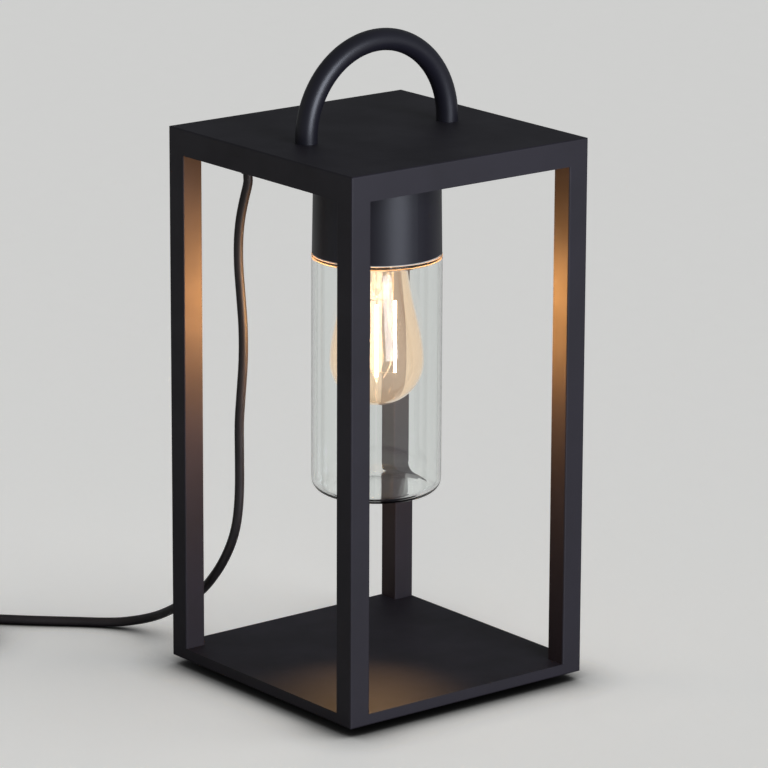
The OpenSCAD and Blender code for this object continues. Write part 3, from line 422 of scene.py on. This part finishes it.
glass_low, glass_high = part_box("glass_cylinder")
glass_r = glass_high.x
glass_wall, glass_floor, corner_r, inner_corner_r = 2.0 * MM, 2.6 * MM, 9 * MM, 6 * MM
# The floor is blown up a little in its middle, as far as these radii
dome_h, punt_r, dome_r = 1.4 * MM, 31 * MM, 36 * MM
neck_r, neck_bore_r, neck_h = 40 * MM, 37 * MM, 10 * MM
ridge_h, ridge_half_w, ridge_pitch, first_ridge, ridge_steps = 0.9 * MM, 1.4 * MM, 4 * MM, 3 * MM, 8
edge_r, crease_r, neck_corner_r = 0.8 * MM, 0.4 * MM, 1.5 * MM
shoulder_z = glass_high.z - neck_h
inner_r = glass_r - glass_wall


def glass_outline():
    """The half section of the tumbler, from the middle of its underside round to the middle of its inner floor."""
    bottom, inside, steps = glass_low.z, glass_low.z + glass_floor, 18
    punt = [(punt_r * k / steps, bottom + dome_h * (1 - (k / steps) ** 2), 0) for k in range(1, steps)]
    dome = [(dome_r * k / steps, inside + dome_h * (1 - (k / steps) ** 2), 0) for k in range(steps - 1, 0, -1)]
    ridges = []
    for ridge in range(2):
        middle = shoulder_z + first_ridge + ridge * ridge_pitch
        for step in range(ridge_steps + 1):
            turn = math.pi * step / ridge_steps
            ridges.append((neck_r + ridge_h * math.sin(turn), middle - ridge_half_w * math.cos(turn), 0))
    corners = [
        (near_axis, bottom + dome_h, 0), *punt, (punt_r, bottom, 0), (glass_r, bottom, corner_r),
        (glass_r, shoulder_z, edge_r), (neck_r, shoulder_z, crease_r), *ridges,
        (neck_r, glass_high.z, edge_r), (neck_bore_r, glass_high.z, edge_r),
        (neck_bore_r, shoulder_z - glass_wall, neck_corner_r), (inner_r, shoulder_z - glass_wall, neck_corner_r),
        (inner_r, inside, inner_corner_r), *dome, (near_axis, inside + dome_h, 0),
    ]
    return rounded(corners, 12)


# Clear soda-lime glass, blown and fire polished: nearly colourless, with bright and dark lines at its edges
tumbler_glass = clear_glass("clear soda-lime glass", "#fbfdfc", 1.5, 0.0)
glass = piece("glass_tumbler", *turned(glass_outline(), 160), tumbler_glass, "glass", "clear_glass")
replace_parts(glass, "glass_cylinder")

gasket_low, gasket_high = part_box("glass_gasket")
ring_outer, ring_inner, ring_edge = gasket_high.x, 40.5 * MM, 0.4 * MM
ring_corners = [(ring_outer, gasket_low.z, ring_edge), (ring_outer, gasket_high.z, ring_edge),
                (ring_inner, gasket_high.z, 0), (ring_inner, gasket_low.z, 0)]
# Silicone rubber, moulded without a pigment: a milky grey that takes on the lamp's warm light
silicone = moulded_rubber("milky silicone rubber", "#b3aea4", "#c4c0b6", 0.5, 4 * MM)
gasket = piece("silicone_gasket", *turned(rounded(ring_corners), 128), silicone, "gasket", "silicone")
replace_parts(gasket, "glass_gasket")

# ---- Filament lamp ----------------------------------------------------------------------------------------------
# A pear-shaped lamp blown from clear glass with a light amber coat, on a nickel-plated brass screw cap. A glass
# stem in it carries four straight glowing filaments on thin wires.


def bend(a, b, c, d, steps):
    """Points on a cubic curve after its first, from its two ends and the two points that pull it."""
    a, b, c, d = Vector(a), Vector(b), Vector(c), Vector(d)
    made = []
    for step in range(1, steps + 1):
        t = step / steps
        s = 1 - t
        made.append(tuple(s * s * s * a + 3 * s * s * t * b + 3 * s * t * t * c + t * t * t * d))
    return made


bulb_low, bulb_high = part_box("bulb_glass")
bulb_r, bulb_wall = bulb_high.x, 0.8 * MM
belly_h, waist_share, waist_rise = 30 * MM, 0.53, 16 * MM
cap_low, cap_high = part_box("bulb_cap")
cap_ridge, cap_wall, neck_gap = 0.6 * MM, 0.5 * MM, 0.2 * MM
throat_r = cap_high.x - cap_ridge - cap_wall - neck_gap


def envelope(inset):
    """The lamp's outline from its tip to its throat, drawn in by the thickness of the glass."""
    belly = bulb_low.z + belly_h
    waist = belly + waist_share * (cap_low.z - belly) + waist_rise
    waist_r = 0.66 * bulb_r
    tip_steps = 24
    tip_turns = [math.pi / 2 * step / tip_steps for step in range(tip_steps + 1)]
    outline = [(max((bulb_r - inset) * math.sin(t), near_axis), belly - (belly_h - inset) * math.cos(t))
               for t in tip_turns]
    # Two curves, each with the points that pull it: from the full belly in to the waist, and on to the throat
    outline += bend((bulb_r - inset, belly), (bulb_r - inset, belly + 19 * MM),
                    (waist_r + 3.4 * MM - inset, waist - 26 * MM), (waist_r - inset, waist), 28)
    outline += bend((waist_r - inset, waist), (waist_r - 1.6 * MM - inset, waist + 10 * MM),
                    (throat_r - inset, cap_low.z - 9 * MM), (throat_r - inset, cap_low.z + 2 * MM), 20)
    return outline


# Blown lamp glass with a light amber lustre on it, which warms what is seen through it. It has a painted glow, an
# emission for the filaments' light scattered in it: nearly white in its middle, and amber where the glass is seen
# edge on.
amber_glass = clear_glass("amber lustred lamp glass", "#f3e6d4", 1.45, 0.0, "#ffe9d4", 0.115, "#a8743a")
envelope_outline = envelope(0) + list(reversed(envelope(bulb_wall)))
bulb = piece("lamp_envelope", *turned(envelope_outline, 128), amber_glass, "lamp", "amber_glass")
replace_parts(bulb, "bulb_glass")

# Clear lead glass of the stem, pinched flat round its wires, with a painted glow: an emission that stands in for the
# light of the filaments beside it
coat(["bulb_stem"], clear_glass("clear stem glass", "#f4f4ee", 1.55, 0.05, "#ffe2c4", 0.3))

# Nickel-plated brass of the cap, with a warm cast
nickel = plated_metal("nickel-plated brass", "#b9b5aa", "#d6d2c6", 0.22, 1.5 * MM)
coat(["bulb_cap", "bulb_contact", "filament_supports"], nickel)
# Black glass, melted into the end of the cap: deep black with a sharp highlight
coat(["bulb_insulator"], moulded_plastic("black vitrite", "#08080b", "#121217", 0.12, 4 * MM))


def glowing_phosphor():
    # A row of tiny chips under a phosphor coat 2 mm thick. Alight, it is white with a warm yellow cast, and
    # a little darker between the chips, which are drawn 3.2 mm apart: a wave of this size repeats so.
    wave_size = 10.08 * MM
    finish, tree = new_finish("glowing phosphor")
    place = add(tree, "TexCoord").outputs["Object"]
    chips = add(tree, "TexWave", {"bands_direction": "Z"}, {"Vector": place, "Scale": 1 / wave_size})
    tone = add(tree, "Mix", {"data_type": "RGBA"}, {
        0: chips.outputs["Fac"], 6: linear("#ffe4bf"), 7: linear("#fff3e2")})
    skin = add(tree, "BsdfPrincipled", {}, {
        "Base Color": linear("#e8c77a"), "Roughness": 0.6, "Emission Color": tone.outputs[2],
        "Emission Strength": 16.0})
    add(tree, "OutputMaterial", {}, {"Surface": skin.outputs["BSDF"]})
    return finish


coat(["led_filaments"], glowing_phosphor())

# The light that the filaments give, from upright strips just outside them. Like the filaments they shine
# sideways and hardly at all down. The lamp's own glass and wires are left out, because they render coarsely, and so
# is the base plate, which gets the spot that the round bottom of the tumbler throws on its front corner instead.
filament_low, filament_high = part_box("led_filaments")
filament_tint, strip_w = linear("#ffc281")[:3], 12 * MM


def lit_by(name, link_state, objects):
    """A collection that a lamp lights alone, or leaves out."""
    group = bpy.data.collections.new(name)
    for member in objects:
        group.objects.link(member)
    for entry in group.collection_objects:
        entry.light_linking.link_state = link_state
    return group


def filament_strip(place, facing, power, receivers):
    """A strip of light as tall as the filaments, at a place in plan, facing one way."""
    strip = bpy.data.lights.new("filament_light", "AREA")
    strip.shape, strip.size, strip.size_y = "RECTANGLE", strip_w, filament_high.z - filament_low.z
    strip.color, strip.energy = filament_tint, power
    placed = bpy.data.objects.new("filament_light", strip)
    placed.matrix_world = (
        Matrix.Translation((*place, (filament_low.z + filament_high.z) / 2)) @ Matrix.Rotation(facing, 4, "Z")
        @ Matrix.Rotation(math.radians(90), 4, "Y") @ Matrix.Rotation(math.radians(90), 4, "Z")
        @ Matrix.Rotation(math.radians(180), 4, "Y"))
    placed.visible_camera = placed.visible_transmission = False
    placed.light_linking.receiver_collection = receivers
    bpy.context.scene.collection.objects.link(placed)
    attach(placed, "lamp")
    return placed


own_parts = [glass, bulb] + [nodes[n] for n in ("bulb_stem", "filament_supports", "led_filaments")]
unlit = lit_by("left out of the filaments' light", "EXCLUDE", own_parts + [nodes["base_plate"]])
strip_reach, strip_powers = filament_high.x + 3 * MM, (0.6, 0.6, 0.76, 0.76)
strip_turns = [math.pi / 2 * quarter for quarter in range(4)]
strip_places = [(strip_reach * math.cos(turn), strip_reach * math.sin(turn)) for turn in strip_turns]
strips = [filament_strip(place, turn, power, unlit)
          for place, turn, power in zip(strip_places, strip_turns, strip_powers)]

spot = bpy.data.lights.new("tumbler_spot", "SPOT")
spot.spot_size, spot.spot_blend, spot.shadow_soft_size = math.radians(64), 1.0, 8 * MM
spot.color, spot.energy = filament_tint, 0.75
# It shines from low in the glass on the front corner of the deck
spot_rise, lit_patch = 12 * MM, Vector((66, -66, 14)) * MM
thrown = bpy.data.objects.new("tumbler_spot", spot)
thrown.location = (0, 0, glass_low.z + spot_rise)
thrown.rotation_euler = (lit_patch - thrown.location).to_track_quat("-Z", "Y").to_euler()
thrown.visible_camera = thrown.visible_transmission = False
thrown.light_linking.receiver_collection = lit_by("lit by the tumbler's spot", "INCLUDE", [nodes["base_plate"]])
bpy.context.scene.collection.objects.link(thrown)
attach(thrown, "lamp")

# ---- Mains lead -------------------------------------------------------------------------------------------------
# A rubber-sheathed lead, 6.5 mm thick and 1.8 m long. It drops from the gland through the frame to the floor and
# runs out to the left. What isn't seen is wound into a coil of two layers, held by a hook-and-loop tie.
cord_d = 6.5 * MM
gland_low, gland_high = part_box("cord_gland")
gland_x, gland_y = (gland_low.x + gland_high.x) / 2, (gland_low.y + gland_high.y) / 2
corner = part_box("base_plate")[0]
under_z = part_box("ceiling_plate")[0].z
floor_gap = 0.05 * MM
lie_z = cord_d / 2 + floor_gap
# The run's points in mm: from the frame's corner in plan, and up from where the lead lies, for a fall of 358.7 mm
run_fall = 358.7 * MM
run_shape = [
    (40.5, 33, 328.7), (39, 31, 315.7), (38, 30, 300.7), (38, 30, 282.7), (39, 31, 261.7), (40, 32, 239.7),
    (40, 32, 216.7), (39, 31, 194.7), (38, 30, 172.7), (38, 30, 150.7), (38, 30, 129.7), (38, 29, 112.7),
    (36, 28, 97.7), (31, 27, 83.7), (23, 26, 69.7), (13, 26, 57.7), (2, 26, 46.7), (-11, 26, 36.7),
    (-25, 26, 27.7), (-40, 26, 19.2), (-55, 26, 11.7), (-70, 23, 5.7), (-84, 16, 1.7), (-96, 7, 0.2),
    (-107, -4, 0), (-119, -17, 0), (-132, -31, 0), (-146, -45, 0), (-159, -59, 0.2),
]
run_stretch = (under_z - lie_z) / run_fall
run = [Vector((gland_x, gland_y, z)) for z in (gland_high.z, gland_low.z, gland_low.z - 7 * MM)]
run += [Vector((corner.x + x * MM, corner.y + y * MM, lie_z + z * MM * run_stretch)) for x, y, z in run_shape]
coil_middle = Vector((corner.x - 148 * MM, corner.y - 113 * MM, 0))
coil_turns, coil_mean_r, coil_gap, tie_t = 5, 36 * MM, 0.6 * MM, 0.8 * MM
coil_start = math.radians(135)
tie_gap = 0.35 * MM
coil_floor_z = tie_t + tie_gap + cord_d / 2
coil_pitch = cord_d + coil_gap
half_turns, climb_turns = coil_turns / 2, 0.5
coil_outer_r = coil_mean_r + half_turns / 2 * coil_pitch
coil_way = Vector((-math.sin(coil_start), math.cos(coil_start), 0))


def coil_point(t):
    """A point on the lead after t turns of the coil: in on the floor, then out again on top of itself."""
    climb = min(1, max(0, (t - half_turns + climb_turns / 2) / climb_turns))
    radius = coil_outer_r - coil_pitch * min(t, 2 * half_turns - t)
    turn = coil_start + 2 * math.pi * t
    rise = coil_floor_z + coil_pitch * climb * climb * (3 - 2 * climb)
    return coil_middle + Vector((radius * math.cos(turn), radius * math.sin(turn), rise))


loop_steps = 24
loops = [coil_point(k / loop_steps) for k in range(loop_steps * coil_turns + 1)]
tail_shape = [(-42, 21.5, 7.9), (-48, 15, 7.1), (-53, 7, 5.3), (-56.5, -2, 3.1), (-58, -12, 1.3), (-57, -22, 0.5),
              (-54, -30, 0.9)]
tail = [coil_middle + Vector((x, y, z)) * MM + Vector((0, 0, lie_z)) for x, y, z in tail_shape]
plug_at = (coil_middle.x - 49 * MM, coil_middle.y - 37 * MM)
plug_turn, plug_relief, plug_end_d, plug_d, plug_grip = math.radians(-54), 28 * MM, 24 * MM, 37 * MM, 26 * MM
plug_lean = math.atan((plug_d - plug_end_d) / 2 / plug_grip)
plug_axis = Vector((math.cos(plug_turn) * math.cos(plug_lean), math.sin(plug_turn) * math.cos(plug_lean),
                    math.sin(plug_lean)))
plug_tip = Vector((*plug_at, floor_gap + plug_end_d / 2 * math.cos(plug_lean)
                   - plug_relief * math.sin(plug_lean)))
cord_points = (
    run
    + [loops[0] - 2 * cord_d * coil_way, loops[0] - cord_d * coil_way]
    + loops
    + [loops[-1] + cord_d * coil_way, loops[-1] + 2 * cord_d * coil_way]
    + tail
    + [plug_tip - cord_d * plug_axis, plug_tip]
)
cord_line = smooth_route(cord_points, 3)

# Rubber sheath, extruded: a soft brown-black that greys in patches, with a dull sheen along its side
sheath = moulded_rubber("extruded rubber sheath", "#1e1b1c", "#2b2728", 0.42, 18 * MM)
lead = piece("mains_lead", *tube(cord_line, cord_d / 2, 16), sheath, "root", "cord_rubber", 60)
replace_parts(lead, "cord_run", "cord_coil", "cord_tail")
# The lead hangs so near the lamp that it gets weaker strips of its own. One of them stands for the light that comes
# round by the front of the tumbler. The other strips shine past the lead, which draws no shadow on the post.
unlit.objects.link(lead)
near_lead = lit_by("the lead alone", "INCLUDE", [lead])
side_power, front_power = 0.22, 0.1
for place, turn in zip(strip_places[2:], strip_turns[2:]):
    filament_strip(place, turn, side_power, near_lead)
front_x, front_y = 24 * MM, -40 * MM
filament_strip((front_x, front_y), math.atan2(gland_y - front_y, gland_x - front_x), front_power, near_lead)
past_lead = lit_by("lets the filaments' light past", "EXCLUDE", [lead])
for strip in strips:
    strip.light_linking.blocker_collection = past_lead

# The tie: a woven strap with a hook-and-loop face, wrapped once round all the turns and lapped over itself
tie_turn, tie_w, tie_slack, tie_bend, tie_lap = math.radians(80), 9 * MM, 0.5 * MM, 2.5 * MM, 24 * MM
thread, thread_depth, tie_climb = 0.75 * MM, 0.09 * MM, 5 * MM


def tie_path(step_count):
    """The strap's middle line round the turns, as places and outward ways across the lead, lapped at its end."""
    low_r = coil_outer_r - coil_pitch * half_turns - cord_d / 2 - tie_slack
    high_r = coil_outer_r + cord_d / 2 + tie_slack
    high_z = coil_floor_z + coil_pitch + cord_d / 2 + tie_slack
    middle = Vector(((low_r + high_r) / 2, (tie_t + high_z) / 2))
    flat = Vector(((high_r - low_r) / 2 - tie_bend, (high_z - tie_t) / 2 - tie_bend))
    bend_r = tie_bend + tie_t / 2
    sides = [2 * flat.y, 2 * flat.x] * 2
    around = sum(sides) + 2 * math.pi * bend_r
    total = around + tie_lap
    made = []
    for step in range(step_count + 1):
        along = total * step / step_count
        climb = min(1, max(0, (along - around) / tie_climb))
        lift = tie_t * 1.05 * climb * climb * (3 - 2 * climb)
        left = along % around
        # Starts in the middle of the outer side, goes up, in over the top, and round under the turns
        left = (left + flat.y) % around
        for side in range(4):
            turn = math.pi / 2 * side
            out = Vector((math.cos(turn), math.sin(turn)))
            way = Vector((-out.y, out.x))
            hub = Vector((flat.x * (out.x - way.x), flat.y * (out.y - way.y)))
            if left <= sides[side]:
                made.append((middle + hub + way * left + out * (bend_r + lift), out))
                break
            left -= sides[side]
            if left <= math.pi / 2 * bend_r:
                spoke = Vector((math.cos(turn + left / bend_r), math.sin(turn + left / bend_r)))
                hub = Vector((flat.x * (out.x + way.x), flat.y * (out.y + way.y)))
                made.append((middle + hub + spoke * (bend_r + lift), spoke))
                break
            left -= math.pi / 2 * bend_r
    return made, total


def woven_strap():
    """Points and faces of the strap, with its threads standing out over and under each other."""
    total = tie_path(4)[1]
    length_steps = 3 * round(total / thread)
    across = 3 * round(tie_w / thread)
    tie_way = Vector((-math.sin(tie_turn), math.cos(tie_turn), 0))
    points, faces = [], []
    for i, (at, out) in enumerate(tie_path(length_steps)[0]):
        place = coil_middle + Vector((at.x * math.cos(tie_turn), at.x * math.sin(tie_turn), at.y))
        normal = Vector((out.x * math.cos(tie_turn), out.x * math.sin(tie_turn), out.y))
        for face_side in (1, -1):
            for j in range(across + 1):
                k = j if face_side == 1 else across - j
                over = math.sin(math.pi * i / 3) * math.sin(math.pi * k / 3)
                # The strap thins towards its edges
                edge = min(k, across - k)
                half = tie_t / 2 * (0.45 if edge == 0 else 0.85 if edge == 1 else 1)
                points.append(place + tie_way * tie_w * (k / across - 0.5)
                              + normal * face_side * (half - thread_depth * (1 - face_side * over)))
    ring = 2 * (across + 1)
    for i in range(length_steps):
        for j in range(ring):
            a, b = i * ring + j, i * ring + (j + 1) % ring
            faces.append((a, b, b + ring, a + ring))
    faces.append(tuple(reversed(range(ring))))
    faces.append(tuple(range(length_steps * ring, (length_steps + 1) * ring)))
    return points, faces


def woven_nylon():
    # Nylon webbing: matt, with a soft sheen on the crowns of its 0.75 mm threads and specks of dust between them
    speck_size = 0.4 * MM
    finish, tree = new_finish("woven nylon webbing")
    place = add(tree, "TexCoord").outputs["Object"]
    yarn = add(tree, "TexNoise", {}, {"Vector": place, "Scale": 1 / speck_size, "Detail": 2.0})
    tone = add(tree, "Mix", {"data_type": "RGBA"}, {
        0: yarn.outputs["Fac"], 6: linear("#161617"), 7: linear("#343436")})
    skin = add(tree, "BsdfPrincipled", {}, {
        "Base Color": tone.outputs[2], "Roughness": 0.82, "IOR": 1.5, "Sheen Weight": 0.3, "Sheen Roughness": 0.5})
    add(tree, "OutputMaterial", {}, {"Surface": skin.outputs["BSDF"]})
    return finish


tie = piece("woven_tie", *woven_strap(), woven_nylon(), "root", "tie_fabric", 75)
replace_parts(tie, "coil_tie")

# ---- Plug -------------------------------------------------------------------------------------------------------
# A round mains plug moulded on to the lead in black rubber, with a ribbed sleeve, two nickel-plated pins and the
# earth strips in its sides.
# Hard rubber, moulded hot: a smoother black than the sheath's, with a soft highlight
plug_rubber = moulded_rubber("moulded plug rubber", "#161618", "#212124", 0.5, 9 * MM)
coat(["plug_body", "plug_relief_sleeve"], plug_rubber)
coat(["plug_pins", "plug_earth_strips"], nickel)

# ---- Floor, light and camera ------------------------------------------------------------------------------------
# A plain pale floor, a soft even sky and one large soft lamp from the right, as in a studio tent. The camera stands
# where the photograph was taken.


def pale_floor():
    # Matt pale paint with faint flecks. The object's soft shadow falls on it. Close under the base and the lead its
    # colour is darkened by ambient occlusion, a painted contact shade. Seen straight or through glass it is lifted
    # towards white, which lights nothing, and that lift is darkened by the same painted shade.
    fleck_size, shade_reach, contact_reach, lift_share = 20 * MM, 90 * MM, 40 * MM, 0.47
    finish, tree = new_finish("pale matt floor")
    place = add(tree, "TexCoord").outputs["Object"]
    flecks = add(tree, "TexNoise", {}, {"Vector": place, "Scale": 1 / fleck_size, "Detail": 3.0})
    tone = add(tree, "Mix", {"data_type": "RGBA"}, {
        0: flecks.outputs["Fac"], 6: linear("#dcdbd8"), 7: linear("#e4e3e0")})
    rays = add(tree, "LightPath")
    straight = add(tree, "Math", {"operation": "MAXIMUM"}, {
        0: rays.outputs["Is Camera Ray"], 1: rays.outputs["Is Transmission Ray"]})
    # Ambient occlusion darkens the floor's colour and its lift close under the object: painted contact shade
    shade = add(tree, "AmbientOcclusion", {"samples": 12}, {"Distance": shade_reach})
    contact = add(tree, "AmbientOcclusion", {"samples": 12}, {"Distance": contact_reach})
    painted_contact_shade = add(tree, "MapRange", {}, {
        "Value": contact.outputs["AO"], "From Min": 0.4, "To Min": 0.04}).outputs["Result"]
    dark = add(tree, "Mix", {"data_type": "RGBA"}, {0: painted_contact_shade, 6: linear("#000000"), 7: tone.outputs[2]})
    skin = add(tree, "BsdfPrincipled", {}, {"Base Color": dark.outputs[2], "Roughness": 0.9})
    shaded = add(tree, "Math", {"operation": "MULTIPLY"}, {0: straight.outputs[0], 1: shade.outputs["AO"]})
    deep = add(tree, "Math", {"operation": "MULTIPLY"}, {0: shaded.outputs[0], 1: painted_contact_shade})
    lift = add(tree, "Math", {"operation": "MULTIPLY"}, {0: deep.outputs[0], 1: lift_share})
    glow_up = add(tree, "Emission", {}, {"Color": linear("#e2e2e0"), "Strength": lift.outputs[0]})
    both = add(tree, "AddShader", {}, {0: skin.outputs[0], 1: glow_up.outputs[0]})
    add(tree, "OutputMaterial", {}, {"Surface": both.outputs[0]})
    return finish


floor_reach = 12.0
floor_mesh = bpy.data.meshes.new("floor")
floor_mesh.from_pydata([(x * floor_reach, y * floor_reach, 0) for x, y in ((-1, -1), (1, -1), (1, 1), (-1, 1))],
                       [], [(0, 1, 2, 3)])
floor_mesh.materials.append(pale_floor())
floor = bpy.data.objects.new("floor", floor_mesh)
bpy.context.scene.collection.objects.link(floor)
# The pale floor would clip to white under the filaments' strips, so they leave it out as well
unlit.objects.link(floor)
for entry in unlit.collection_objects:
    entry.light_linking.link_state = "EXCLUDE"

world = bpy.data.worlds.new("soft sky")
bpy.context.scene.world = world
world.use_nodes = True
sky = world.node_tree
sky.nodes.clear()
paths = add(sky, "LightPath")
seen = add(sky, "Math", {"operation": "MAXIMUM"}, {
    0: paths.outputs["Is Camera Ray"], 1: paths.outputs["Is Transmission Ray"]})
lit = add(sky, "Background", {}, {"Color": linear("#e9edf2"), "Strength": 0.2})
backdrop = add(sky, "Background", {}, {"Color": linear("#d4d4d2"), "Strength": 1.0})
either = add(sky, "MixShader", {}, {0: seen.outputs[0], 1: lit.outputs[0], 2: backdrop.outputs[0]})
add(sky, "OutputWorld", {}, {"Surface": either.outputs[0]})


def soft_lamp(name, at, aim, size, power, colour):
    """A large square lamp that points at a place."""
    light = bpy.data.lights.new(name, "AREA")
    light.size, light.energy, light.color = size, power, linear(colour)[:3]
    placed = bpy.data.objects.new(name, light)
    placed.location = at
    placed.rotation_euler = (Vector(aim) - Vector(at)).to_track_quat("-Z", "Y").to_euler()
    placed.visible_camera = False
    bpy.context.scene.collection.objects.link(placed)
    return placed


lamp_middle = (0, 0, 0.2)
key = soft_lamp("key", (2.38, -0.02, 0.74), lamp_middle, 1.4, 65, "#e4eaf9")
key.light_linking.receiver_collection = lit_by("left out of the key's light", "EXCLUDE", [floor])
soft_lamp("fill", (-1.4, -1.9, 1.3), lamp_middle, 1.6, 1, "#f6f2ec")

# The floor has an even light of its own, because it would clip to white near the key
even = bpy.data.lights.new("floor_light", "SUN")
even.energy, even.angle = 0.7, math.radians(35)
evenly = bpy.data.objects.new("floor_light", even)
evenly.rotation_euler = Vector((-0.45, -0.35, -1)).to_track_quat("-Z", "Y").to_euler()
evenly.light_linking.receiver_collection = lit_by("lit by the floor's light", "INCLUDE", [floor])
bpy.context.scene.collection.objects.link(evenly)

# The camera's place and its focal length in the photograph's pixels, worked out from the square of the frame
sensor_w, focal_px, photo_px = 36.0, 4790.2, 768
camera = bpy.data.objects.new("camera", bpy.data.cameras.new("camera"))
camera.data.sensor_width = sensor_w
camera.data.lens = sensor_w * focal_px / photo_px
camera.data.clip_end = 100.0
camera.matrix_world = (
    Matrix.Translation((2.45912, -1.94702, 1.05536))
    @ Matrix.Rotation(math.radians(51.537), 4, "Z")
    @ Matrix.Rotation(math.radians(90 - 15.168), 4, "X")
    @ Matrix.Rotation(math.radians(0.24), 4, "Z")
)
bpy.context.scene.collection.objects.link(camera)
bpy.context.scene.camera = camera
bpy.context.scene.view_settings.view_transform = "Standard"
